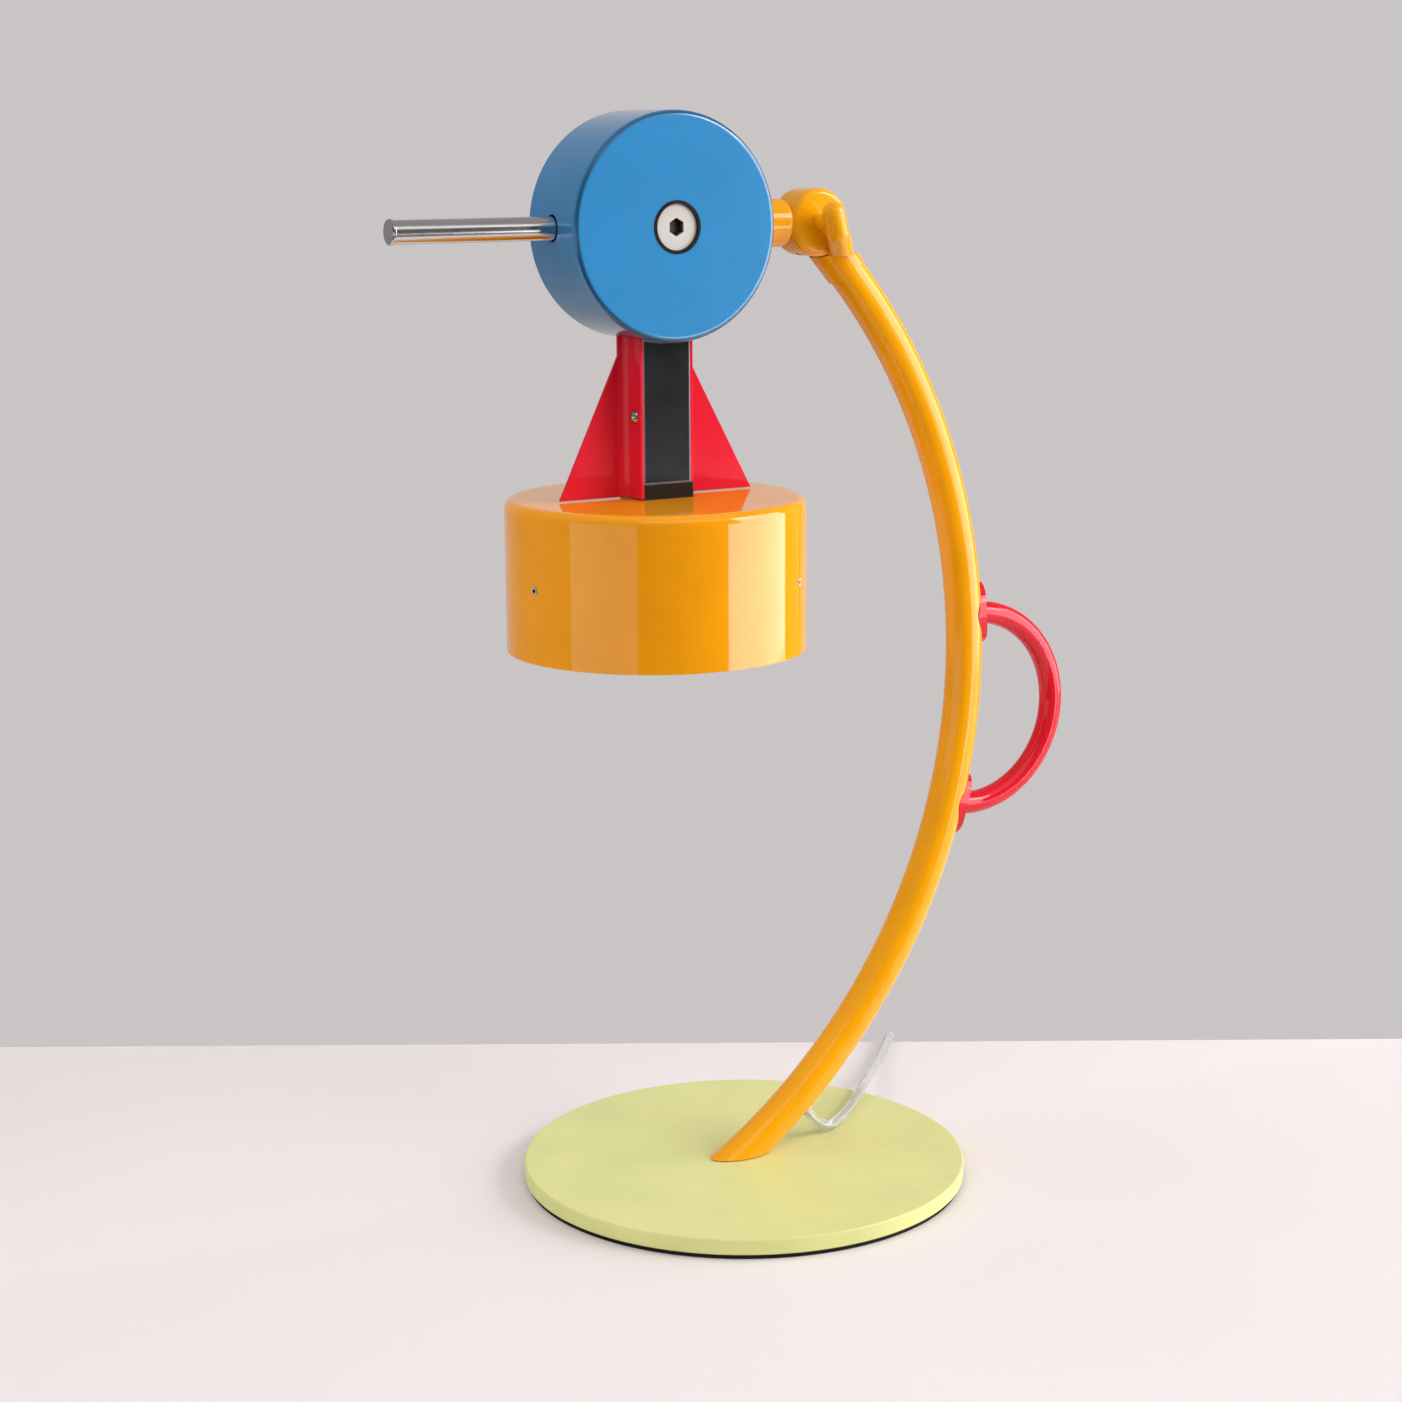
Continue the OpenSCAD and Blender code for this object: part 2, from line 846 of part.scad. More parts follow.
module post_bolt_right() {
    post_bolt(1);
}

// Outline of a bracket seen from the front, distances from the post's middle
function fin_outline(reach, low) = [[post_w / 2, low], [post_w / 2 + fin_t + bend_r, low],
    [post_w / 2 + fin_t + bend_r, fin_low], [reach, fin_low], [post_w / 2 + 6.2, shade_top + fin_rise],
    [post_w / 2 + 6.2, head_z], [post_w / 2, head_z]];

// Bent bracket on the +X side of X 0: flange on the post, bend, fin
module fin(reach, low) {
    inner = bend_r - fin_t;
    x0 = post_w / 2 + 0.01;
    difference() {
        intersection() {
            union() {
                translate([x0, -post_dep / 2, 0])
                    cube([fin_t, post_dep / 2 + fin_y - inner, 800]);
                intersection() {
                    translate([x0, fin_y - inner, 0])
                        cube([bend_r, bend_r, 800]);
                    difference() {
                        translate([x0 + bend_r, fin_y - inner, 0])
                            cylinder(r = bend_r, h = 800, $fn = 64);
                        translate([x0 + bend_r, fin_y - inner, -1])
                            cylinder(r = inner, h = 802, $fn = 64);
                    }
                }
                translate([x0 + bend_r, fin_y, 0])
                    cube([80, fin_t, 800]);
            }
            translate([0, 60, 0])
                rotate([90, 0, 0])
                    linear_extrude(height = 120)
                        polygon(fin_outline(reach, low));
        }
        translate([0, fin_screw_y, fin_screw_z])
            rotate([0, 90, 0])
                cylinder(d = 4 + 2 * fit, h = 60, $fn = 32);
    }
}

module fin_left() {
    color(red)
        difference() {
            translate([drum_x, 0, 0])
                mirror([1, 0, 0])
                    fin(fin_left_reach, fin_low);
            drum_cyl(drum_r + 0.1, -40, 40);
        }
}

module fin_right() {
    color(red)
        difference() {
            translate([drum_x, 0, 0])
                fin(fin_right_reach, post_z0 + 0.3);
            drum_cyl(drum_r + 0.1, -40, 40);
        }
}

// Bright dome screw through a bracket's flange into the post
module fin_screw(s) {
    color(steel)
        translate([drum_x + s * (post_w / 2 + fin_t + 0.02), fin_screw_y, fin_screw_z])
            rotate([0, 90 * s, 0])
                dome_screw(7, 2.6, 4, fin_t + 8);
}

module fin_screw_left() {
    fin_screw(-1);
}

module fin_screw_right() {
    fin_screw(1);
}

// Half section of the shade: radius and height above its mouth
function shade_pts() = concat([[shade_r - shade_wall, 0], [shade_r, 0]],
    arc_pts([shade_r - shade_edge, shade_h - shade_edge], shade_edge, 0, 90),
    [[0, shade_h], [0, shade_h - shade_wall]],
    arc_pts([shade_r - shade_edge, shade_h - shade_edge], max(shade_edge - shade_wall, 0.3), 90, 0));

module shade_shell() {
    color(yellow)
        difference() {
            translate([drum_x, 0, shade_low])
                rotate_extrude($fn = 180)
                    polygon(shade_pts());
            for (s = [-1, 1])
                translate([drum_x + s * bolt_spread[0], s * bolt_spread[1], shade_top - 10])
                    cylinder(d = 5.2, h = 20, $fn = 32);
            translate([drum_x, 0, shade_top - 10])
                cylinder(d = lead_d + 2 * fit, h = 20, $fn = 32);
            grub_bores();
        }
}

// Radial bores for the three set screws
module grub_bores() {
    for (a = grub_a)
        translate([drum_x, 0, grub_z])
            rotate([0, 0, a])
                rotate([0, 90, 0])
                    translate([0, 0, shade_r - 10])
                        cylinder(d = grub_d + 2 * fit, h = 20, $fn = 32);
}

module reflector() {
    r1 = shade_r - shade_wall - 0.02;
    r0 = 22;
    top = shade_h - 8;
    low = grub_h - 6;
    high = grub_h + 6;
    color("#d9dadb")
        difference() {
            translate([drum_x, 0, shade_low])
                rotate_extrude($fn = 180)
                    polygon([[r1 - rim_t, low], [r1, low], [r1, high], [r1 - rim_t, high],
                        [r0 + 1.2, top], [r0, top],
                        [r1 - rim_t - 1.4, high - 1.2], [r1 - rim_t - 1.4, low]]);
            grub_bores();
        }
}

// Socket set screw through the shade's side
module grub_screw(a) {
    color(steel)
        translate([drum_x, 0, grub_z])
            rotate([0, 0, a])
                rotate([0, 90, 0])
                    translate([0, 0, shade_r - shade_wall - rim_t])
                        difference() {
                            cylinder(d = grub_d, h = shade_wall + rim_t + 0.5, $fn = 32);
                            translate([0, 0, shade_wall + rim_t - 1.5])
                                hex(grub_d / 2, 4);
                        }
}

module grub_screw_left() {
    grub_screw(grub_a[0]);
}

module grub_screw_front() {
    grub_screw(grub_a[1]);
}

module grub_screw_rear() {
    grub_screw(grub_a[2]);
}

module lampholder() {
    color("#e6e2d6")
        difference() {
            translate([drum_x, 0, shade_top - shade_wall - 14])
                cylinder(d = 15, h = 14, $fn = 48);
            for (s = [-1, 1])
                translate([drum_x + s * 3.2, 0, shade_top - shade_wall - 15])
                    cylinder(d = 1.3, h = 8, $fn = 24);
        }
}

module bulb() {
    r = 6;
    l = 32;
    z1 = shade_top - shade_wall - 14;
    color("#eef3f5")
        union() {
            translate([drum_x, 0, z1 - l])
                rotate_extrude($fn = 48)
                    polygon(concat([[0, 0], [1.2, 0.6], [1.6, 3]], arc_pts([0, 3 + r], r, -70, 0, 8),
                        [[r, l - 9], [r - 1, l - 8], [r - 1, l - 0.3], [0, l - 0.3]]));
            for (s = [-1, 1])
                translate([drum_x + s * 3.2, 0, z1 - 1])
                    cylinder(d = 1.2, h = 6, $fn = 24);
        }
}

// Bolt from inside the shade up into the post, on one side
module shade_bolt(s) {
    color(steel)
        translate([drum_x + s * bolt_spread[0], s * bolt_spread[1], shade_top - shade_wall])
            rotate([180, 0, 0])
                cap_bolt(8.5, 4, 5, post_foot_h + 15, 3);
}

module shade_bolt_front() {
    shade_bolt(-1);
}

module shade_bolt_rear() {
    shade_bolt(1);
}

module lamp_lead() {
    color(black)
        translate([drum_x, 0, shade_top - shade_wall])
            cylinder(d = lead_d, h = neck_h + shade_wall - drum_r + 12, $fn = 32);
}

function unit(v) = v / norm(v);

// Direction of a line of points at one of them
function way(p, i) = i == 0 ? unit(p[1] - p[0]) : i == len(p) - 1 ? unit(p[i] - p[i - 1])
    : let (a = p[i] - p[i - 1], b = p[i + 1] - p[i]) unit(unit(a) * norm(b) + unit(b) * norm(a));

// Curve through the route's points, one span at a time
function spline(p, i, t) = let (l = norm(p[i + 1] - p[i]), q = t * t * (3 - 2 * t))
    (1 - q) * p[i] + q * p[i + 1] + t * (1 - t) * l * ((1 - t) * way(p, i) - t * way(p, i + 1));

// Ring of n points round point i of a line
function ring(line, i, d, n) = let (u = unit(line[min(i + 1, len(line) - 1)] - line[max(i - 1, 0)]),
    s = unit(cross(u, [0, 0, 1])), w = cross(s, u))
    [for (k = [0 : n - 1]) line[i] + d / 2 * (cos(360 * k / n) * s + sin(360 * k / n) * w)];

// Tube of n sides along a line, made of triangles
module tube(line, d, n) {
    m = len(line);
    pts = concat([for (i = [0 : m - 1]) each ring(line, i, d, n)], [line[0], line[m - 1]]);
    walls = [for (i = [0 : m - 2], k = [0 : n - 1]) each [[i * n + k, (i + 1) * n + k, i * n + (k + 1) % n],
        [(i + 1) * n + k, (i + 1) * n + (k + 1) % n, i * n + (k + 1) % n]]];
    caps = [for (k = [0 : n - 1]) each [[m * n, k, (k + 1) % n],
        [m * n + 1, (m - 1) * n + (k + 1) % n, (m - 1) * n + k]]];
    polyhedron(points = pts, faces = concat(walls, caps));
}

gland_face = [arm_cx + gland_out * cos(gland_a), 0, arm_h + gland_out * sin(gland_a)];
gland_way = [cos(gland_a), 0, sin(gland_a)];
lay_z = z_top + cord_d / 2 + lay_gap;
lay_way = [0.8, 0.6, 0];
lead_r = 4.6 * cord_d;
lead_turn = acos(gland_way * lay_way);
lead_side = unit(lay_way - cos(lead_turn) * gland_way);
lead_bend = lead_r * (sin(lead_turn) * gland_way + (1 - cos(lead_turn)) * lead_side);
lead_out = (lay_z - gland_face[2] - lead_bend[2]) / gland_way[2];
// Points of the bend that brings the cord down on the disc
lead_arc = [for (k = [0 : 6]) let (a = lead_turn * k / 6)
    gland_face + lead_out * gland_way + lead_r * (sin(a) * gland_way + (1 - cos(a)) * lead_side)];
route = concat([for (q = on_disc) [q[0], q[1], 0] * base_d / route_d + [0, 0, lay_z]],
    [[off_disc[0], off_disc[1], 0] * base_d / route_d + [0, 0, (lay_z + coil_z) / 2]],
    [for (q = on_table) [q[0], q[1], 0] * base_d / route_d + [0, 0, coil_z]]);
coil_r1 = coil_r0 + coil_step * coil_turns;
coil_start = [coil_c[0] + coil_r1 * cos(coil_in), coil_c[1] + coil_r1 * sin(coil_in), coil_z];
coil_way = [-sin(coil_in), cos(coil_in), 0];
lead_end = coil_start - cord_d * coil_way;
lead_pts = concat([gland_face + 0.05 * gland_way, gland_face + lead_out / 2 * gland_way], lead_arc,
    [lead_arc[6] + cord_d * lay_way], route, [lead_end - 8 * coil_way, lead_end]);
lead_line = [for (i = [0 : len(lead_pts) - 2], t = [0 : 0.25 : 0.99]) spline(lead_pts, i, t)];

// Radius and height of the coil after a number of turns
function coil_r(t) = coil_r0 + coil_step * abs(coil_turns - t);
function coil_up(t) = coil_step * min(max((t - coil_turns + 0.25) / 0.5, 0), 1);
coil_body = [for (i = [0 : 48 * coil_turns]) let (t = i / 24, a = coil_in + 360 * t)
    [coil_c[0] + coil_r(t) * cos(a), coil_c[1] + coil_r(t) * sin(a), coil_z + coil_up(t)]];
coil_end = coil_body[len(coil_body) - 1];
plug_drop = [0, 0, plug_t / 2 + lay_gap - coil_end[2]];
plug_at = coil_end + coil_tail * coil_way + plug_drop;
// The cord comes down from the coil's upper layer to the plug, and its last piece is straight
coil_line = concat([lead_end], coil_body, [for (k = [1 : 4]) let (t = k / 4) coil_end
    + t * (coil_tail - cord_d) * coil_way + t * t * (3 - 2 * t) * plug_drop], [plug_at]);

// Least distance between loops of the coil, measured on its points
loop_gap = min([for (i = [0 : len(coil_body) - 16], j = [i + 14 : len(coil_body) - 1])
    norm(coil_body[i] - coil_body[j])]) - cord_d;
echo(loop_gap = loop_gap);

module cord_lead() {
    color("#e4e6e8")
        tube(concat(lead_line, [lead_end]), cord_d, 10);
}

module cord_coil() {
    color("#e4e6e8")
        tube(coil_line, cord_d, 6);
}

module coil_tie() {
    t = 1;
    w = 8;
    x0 = coil_r0 - cord_d / 2 - 1.2 - t;
    x1 = coil_r1 + cord_d / 2 + 1.2 + t;
    low = coil_z - cord_d / 2 - t - 0.3;
    high = coil_z + coil_step + cord_d / 2 + t + 0.3;
    color(black)
        translate([coil_c[0], coil_c[1], 0])
            rotate([0, 0, 100])
                difference() {
                    translate([x0, -w / 2, low])
                        cube([x1 - x0, w, high - low]);
                    translate([x0 + t, -w, low + t])
                        cube([x1 - x0 - 2 * t, 2 * w, high - low - 2 * t]);
                }
}

// Place at the cord's far end with X along the cord
module at_plug() {
    translate(plug_at)
        rotate([0, 0, coil_in + 90])
            children();
}

module plug_body() {
    color("#e9e9e6")
        at_plug()
            difference() {
                union() {
                    rotate([0, 90, 0])
                        cylinder(d1 = 8, d2 = 11, h = 12, $fn = 48);
                    translate([0, 0, -plug_t / 2])
                        linear_extrude(height = plug_t)
                            polygon([[10, -6], [16, -11], [10 + plug_len, -17.5], [12 + plug_len, -15],
                                [12 + plug_len, 15], [10 + plug_len, 17.5], [16, 11], [10, 6]]);
                }
                for (s = [-1, 1])
                    translate([plug_len + 4, s * 9.3, 0])
                        rotate([0, 90, 0])
                            cylinder(d = 4 + 2 * fit, h = 20, $fn = 32);
            }
}

// Plug pin on one side
module plug_pin(s) {
    color(steel)
        at_plug()
            translate([plug_len + 4, s * 9.3, 0])
                rotate([0, 90, 0])
                    union() {
                        cylinder(d = 4, h = 26, $fn = 32);
                        translate([0, 0, 26])
                            cylinder(d1 = 4, d2 = 2.6, h = 1, $fn = 32);
                    }
}

module plug_pin_left() {
    plug_pin(1);
}

module plug_pin_right() {
    plug_pin(-1);
}

base_disc();
base_pad();
arm_tube();
foot_plug();
foot_bolt();
foot_dowel();
cord_gland();
arm_lead();
arm_fork();
friction_washer_front();
friction_washer_rear();
pivot_bolt();
handle_rod();
saddle_upper();
saddle_lower();
handle_screw_upper();
handle_screw_lower();
knuckle();
stub_nut();
drum_shell();
drum_cover();
cover_nut();
transformer();
pad_front();
pad_rear();
clamp_plate();
eye_bolt();
eye_ring();
eye_nut();
switch_body();
switch_carrier();
beak_rod();
beak_cap();
switch_spindle();
post();
post_foot();
post_clamp();
post_bolt_left();
post_bolt_right();
fin_left();
fin_right();
fin_screw_left();
fin_screw_right();
shade_shell();
reflector();
grub_screw_left();
grub_screw_front();
grub_screw_rear();
lampholder();
bulb();
shade_bolt_front();
shade_bolt_rear();
lamp_lead();
cord_lead();
cord_coil();
coil_tie();
plug_body();
plug_pin_left();
plug_pin_right();
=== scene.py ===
"""Table lamp with a tilting head: its looks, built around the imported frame."""

from __future__ import annotations

import logging
import math
from dataclasses import dataclass, field
from enum import Enum
from typing import ClassVar

import bmesh
import bpy
from mathutils import Matrix, Vector

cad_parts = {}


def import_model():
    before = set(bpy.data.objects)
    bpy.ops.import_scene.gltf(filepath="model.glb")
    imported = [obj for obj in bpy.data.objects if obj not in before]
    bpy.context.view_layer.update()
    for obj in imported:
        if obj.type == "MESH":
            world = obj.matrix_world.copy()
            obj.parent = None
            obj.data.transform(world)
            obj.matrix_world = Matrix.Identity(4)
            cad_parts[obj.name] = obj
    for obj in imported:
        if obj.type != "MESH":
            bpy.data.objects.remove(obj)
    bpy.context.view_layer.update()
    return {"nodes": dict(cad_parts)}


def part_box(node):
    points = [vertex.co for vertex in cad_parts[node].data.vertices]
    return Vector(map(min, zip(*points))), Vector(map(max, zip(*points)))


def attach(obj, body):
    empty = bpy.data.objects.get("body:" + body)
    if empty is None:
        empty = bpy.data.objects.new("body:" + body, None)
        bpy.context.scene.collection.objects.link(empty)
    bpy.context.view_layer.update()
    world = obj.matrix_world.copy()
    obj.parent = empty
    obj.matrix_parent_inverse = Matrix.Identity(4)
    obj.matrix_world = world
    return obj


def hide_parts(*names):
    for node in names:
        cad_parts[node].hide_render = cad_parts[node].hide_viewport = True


LOG = logging.getLogger("lamp")
MM = 0.001
UP = (0.0, 0.0, 1.0)
Colour = tuple[float, float, float]
Point = tuple[float, float, float]
Pair = tuple[float, float]
Quad = tuple[float, float, float, float]
Dress = dict[str, tuple[str, ...]]
Tree = bpy.types.NodeTree
Socket = bpy.types.NodeSocket
Material = bpy.types.Material
Piece = bpy.types.Object


class Body(str, Enum):
    """The frame's moving bodies."""

    STAND = "stand"
    HEAD = "head"
    BEAK = "beak"


class Grain(Enum):
    """How a metal surface was worked, as noise stretch along X, Y and Z."""

    TURNED = (1.0, 1.0, 1.0)
    SPUN = (0.02, 0.02, 1.0)
    DRAWN_X = (0.04, 1.0, 1.0)


def tinted(colour: Colour, factor: float) -> Colour:
    """A colour made darker or lighter by a factor."""
    return tuple(min(1.0, c * factor) for c in colour)


def eased(t: float) -> float:
    """A share from zero to one that starts and ends slowly."""
    return t * t * (3 - 2 * t)


def angles(count: int) -> list[float]:
    """Equal steps round a full turn, in radians."""
    return [2 * math.pi * k / count for k in range(count)]


def heading(line: list[Vector], i: int) -> Vector:
    """The way from the point before one of a line's points to the point after it."""
    return line[min(i + 1, len(line) - 1)] - line[max(i - 1, 0)]


def feed(tree: Tree, target: Socket, value: Socket | tuple | float) -> None:
    """Link a node's socket to another, or set it to a fixed value.

    Args:
        tree: The node tree.
        target: The socket to feed.
        value: The socket that feeds it, or the value.
    """
    if isinstance(value, Socket):
        tree.links.new(value, target)
    else:
        target.default_value = value


def dotted(tree: Tree, first: Socket, second: Socket | Point) -> Socket:
    """How far two directions agree.

    Args:
        tree: The node tree.
        first: A direction.
        second: Another, or a fixed one.

    Returns:
        Their dot product.
    """
    node = tree.nodes.new("ShaderNodeVectorMath")
    node.operation = "DOT_PRODUCT"
    tree.links.new(first, node.inputs[0])
    feed(tree, node.inputs[1], second)
    return node.outputs["Value"]


def mapped(tree: Tree, value: Socket, source: Pair, result: Pair) -> Socket:
    """Map a value from one range to another and hold it there.

    Args:
        tree: The node tree.
        value: The value to map.
        source: Where its range starts and ends.
        result: What these two ends give.

    Returns:
        The mapped value.
    """
    node = tree.nodes.new("ShaderNodeMapRange")
    ends = ("From Min", "From Max", "To Min", "To Max")
    for name, number in zip(ends, (*source, *result)):
        node.inputs[name].default_value = number
    tree.links.new(value, node.inputs["Value"])
    return node.outputs["Result"]


class Shader:
    """A material's node tree, with short ways to add what the finishes share."""

    NOISE_SPAN = (0.3, 0.7)
    EDGE_SPAN = (0.82, 0.97)
    ROUNDING_SAMPLES = 4
    RECESS_SPAN = (0.55, 0.88)
    RECESS_SAMPLES = 8
    # Ends of the painted rim shade's ramp and the stops between them, as place and strength of the
    # shade
    RIM_SHADE_ENDS = ((0.44, 0.35), (0.98, 0.0))
    RIM_SHADE_STOPS = ((0.60, 1.0), (0.90, 1.0))
    # Places of the colour sockets on a mix node
    MIX_FIRST, MIX_SECOND, MIX_RESULT = 6, 7, 2

    def __init__(self, name: str) -> None:
        """Start a material with an empty principled surface.

        Args:
            name: The material's name.
        """
        self.material = bpy.data.materials.new(name)
        self.material.use_nodes = True
        self.tree = self.material.node_tree
        self.surface = self.tree.nodes["Principled BSDF"]
        self.coords = self.tree.nodes.new("ShaderNodeTexCoord").outputs["Object"]

    def fix(self, **values: float) -> None:
        """Set constant values on the surface's own sockets.

        Args:
            values: Socket names with underscores for spaces, and their values.
        """
        for name, value in values.items():
            self.surface.inputs[name.replace("_", " ")].default_value = value

    def link(self, source: Socket, target: str) -> None:
        """Feed a socket of the surface."""
        self.tree.links.new(source, self.surface.inputs[target])

    def noise(self, scale: float, detail: float, stretch: Point = (1.0, 1.0, 1.0)) -> Socket:
        """Noise over the piece, in cycles per metre.

        Args:
            scale: Cycles per metre.
            detail: Number of finer octaves.
            stretch: Factors for X, Y and Z.

        Returns:
            The noise value.
        """
        place = self.tree.nodes.new("ShaderNodeMapping")
        place.inputs["Scale"].default_value = stretch
        self.tree.links.new(self.coords, place.inputs["Vector"])
        node = self.tree.nodes.new("ShaderNodeTexNoise")
        node.inputs["Scale"].default_value = scale
        node.inputs["Detail"].default_value = detail
        self.tree.links.new(place.outputs["Vector"], node.inputs["Vector"])
        return node.outputs["Fac"]

    def ranged(self, value: Socket, low: float, high: float, span: Pair = NOISE_SPAN) -> Socket:
        """A noise value mapped to a range, low where the span starts and high where it ends."""
        return mapped(self.tree, value, span, (low, high))

    def mixed(self, factor: Socket, first: Colour | Socket, second: Colour) -> Socket:
        """Mix two colours by a factor.

        Args:
            factor: Zero gives the first colour and one the second.
            first: A colour, or the socket of one.
            second: A colour.

        Returns:
            The mixed colour.
        """
        node = self.tree.nodes.new("ShaderNodeMix")
        node.data_type = "RGBA"
        self.tree.links.new(factor, node.inputs["Factor"])
        start = first if isinstance(first, Socket) else (*first, 1.0)
        feed(self.tree, node.inputs[self.MIX_FIRST], start)
        feed(self.tree, node.inputs[self.MIX_SECOND], (*second, 1.0))
        return node.outputs[self.MIX_RESULT]

    def rounded(self, radius: float) -> Socket:
        """Surface direction with the solid's edges rounded off.

        Args:
            radius: The rounding, in metres.

        Returns:
            The direction.
        """
        node = self.tree.nodes.new("ShaderNodeBevel")
        node.samples = self.ROUNDING_SAMPLES
        node.inputs["Radius"].default_value = radius
        return node.outputs["Normal"]

    def edges(self, radius: float) -> Socket:
        """A mask that is one along the solid's outer edges.

        Args:
            radius: How far the mask reaches from an edge, in metres.

        Returns:
            The mask.
        """
        flat = self.tree.nodes.new("ShaderNodeNewGeometry").outputs["Normal"]
        return self.ranged(dotted(self.tree, self.rounded(radius), flat), 1.0, 0.0, self.EDGE_SPAN)

    def rim_shade_mask(self) -> Socket:
        """A mask for painted shade on a face across the Y axis: one on its rounded rim, faint on
        the side behind.

        Returns:
            The mask.
        """
        flat = self.tree.nodes.new("ShaderNodeNewGeometry").outputs["Normal"]
        parts = self.tree.nodes.new("ShaderNodeSeparateXYZ")
        self.tree.links.new(flat, parts.inputs["Vector"])
        ramp = self.tree.nodes.new("ShaderNodeValToRGB")
        stops = ramp.color_ramp.elements
        for stop, (place, strength) in zip(stops, self.RIM_SHADE_ENDS):
            stop.position, stop.color = place, (strength, strength, strength, 1.0)
        for place, strength in self.RIM_SHADE_STOPS:
            stops.new(place).color = (strength, strength, strength, 1.0)
        towards = mapped(self.tree, parts.outputs["Y"], (0.0, -1.0), (0.0, 1.0))
        self.tree.links.new(towards, ramp.inputs["Fac"])
        return ramp.outputs["Color"]

    def recess_shade_mask(self, reach: float) -> Socket:
        """A mask that is one deep inside the piece's own holes and sockets, for painted shade
        there.

        Args:
            reach: How wide a hole still counts, in metres.

        Returns:
            The mask.
        """
        node = self.tree.nodes.new("ShaderNodeAmbientOcclusion")
        node.only_local = True
        node.samples = self.RECESS_SAMPLES
        node.inputs["Distance"].default_value = reach
        return self.ranged(node.outputs["AO"], 1.0, 0.0, self.RECESS_SPAN)

    def roughen(self, pattern: Socket, roughness: float, spread: Pair) -> None:
        """Vary the surface's roughness over a pattern.

        Args:
            pattern: The noise to follow.
            roughness: The roughness to vary.
            spread: Its factors at the pattern's low and high end.
        """
        low, high = (roughness * factor for factor in spread)
        self.link(self.ranged(pattern, low, high), "Roughness")

    def relief(self, height: Socket, depth: float, radius: float = 0.0) -> None:
        """Raise the surface by a height value.

        Args:
            height: The height, from zero to one.
            depth: The relief's depth in metres.
            radius: Rounding of the solid's edges, in metres.
        """
        node = self.tree.nodes.new("ShaderNodeBump")
        node.inputs["Strength"].default_value = 1.0
        node.inputs["Distance"].default_value = depth
        self.tree.links.new(height, node.inputs["Height"])
        if radius:
            self.tree.links.new(self.rounded(radius), node.inputs["Normal"])
        self.link(node.outputs["Normal"], "Normal")


@dataclass(frozen=True)
class Paint:
    """Sprayed paint: faint mottle, orange peel, edges lightened as wear and painted highlight or
    darkened as a painted shade line, painted shade on a rounded rim, and painted shade deep in its
    holes.
    """

    name: str
    colour: Colour
    roughness: float
    coat: float = 0.0
    coat_roughness: float = 0.03
    peel: float = 0.000012
    edge: float = 0.0004
    # Edge colour factor: above one, wear and a painted highlight along edges; below one, a painted
    # shade line
    edge_light: float = 1.18
    # Factor for a painted shade on the rounded rim of a face across Y, and faintly on its side
    rim_shade: float = 1.0
    shine: float = 0.5
    # Colour of painted shade deep in holes and sockets
    hole_shade: Colour | None = None
    mottle: ClassVar[Pair] = (28.0, 4.0)
    mottle_tints: ClassVar[Pair] = (1.03, 0.95)
    smears: ClassVar[Pair] = (90.0, 5.0)
    spread: ClassVar[Pair] = (0.84, 1.16)
    dimples: ClassVar[Pair] = (520.0, 3.0)
    # Reach of the edge tint (wear and painted edge light), as a multiple of the edge rounding
    edge_tint_reach: ClassVar[float] = 2.0
    hole_reach: ClassVar[float] = 0.006

    def material(self) -> Material:
        """Build the finish.

        Returns:
            Its material.
        """
        shader = Shader(self.name)
        light, dark = (tinted(self.colour, tint) for tint in self.mottle_tints)
        mottle = shader.ranged(shader.noise(*self.mottle), 0.0, 1.0)
        colour = shader.mixed(mottle, light, dark)
        # Edges: wear and painted highlight where the edge factor is above one, a painted shade line
        # where it is below
        edge_wear_and_light = shader.edges(self.edge * self.edge_tint_reach)
        colour = shader.mixed(edge_wear_and_light, colour, tinted(self.colour, self.edge_light))
        # Painted shade on the rounded rim and the side behind it
        if self.rim_shade != 1.0:
            colour = shader.mixed(shader.rim_shade_mask(), colour, tinted(self.colour, self.rim_shade))
        # Painted shade deep in holes and sockets
        if self.hole_shade:
            colour = shader.mixed(shader.recess_shade_mask(self.hole_reach), colour, self.hole_shade)
        shader.link(colour, "Base Color")
        shader.roughen(shader.noise(*self.smears), self.roughness, self.spread)
        shader.relief(shader.noise(*self.dimples), self.peel, self.edge)
        shader.fix(Coat_Weight=self.coat, Coat_Roughness=self.coat_roughness,
                   Specular_IOR_Level=self.shine)
        return shader.material


@dataclass(frozen=True)
class Metal:
    """Bare or plated metal with marks of how it was worked and, for some finishes, painted shade
    deep in its holes.
    """

    name: str
    colour: Colour
    roughness: float
    grain: Grain = Grain.TURNED
    scale: float = 900.0
    depth: float = 0.000006
    # Colour of painted shade deep in holes and sockets
    hole_shade: Colour | None = None
    octaves: ClassVar[float] = 4.0
    dark_tint: ClassVar[float] = 0.82
    spread: ClassVar[Pair] = (0.75, 1.3)
    edge: ClassVar[float] = 0.00025
    hole_reach: ClassVar[float] = 0.003

    def material(self) -> Material:
        """Build the finish.

        Returns:
            Its material.
        """
        shader = Shader(self.name)
        lines = shader.noise(self.scale, self.octaves, self.grain.value)
        dark = tinted(self.colour, self.dark_tint)
        colour = shader.mixed(shader.ranged(lines, 0.0, 1.0), self.colour, dark)
        # Painted shade deep in holes and sockets
        if self.hole_shade:
            colour = shader.mixed(shader.recess_shade_mask(self.hole_reach), colour, self.hole_shade)
        shader.link(colour, "Base Color")
        shader.roughen(lines, self.roughness, self.spread)
        shader.relief(lines, self.depth, self.edge)
        shader.fix(Metallic=1.0)
        return shader.material


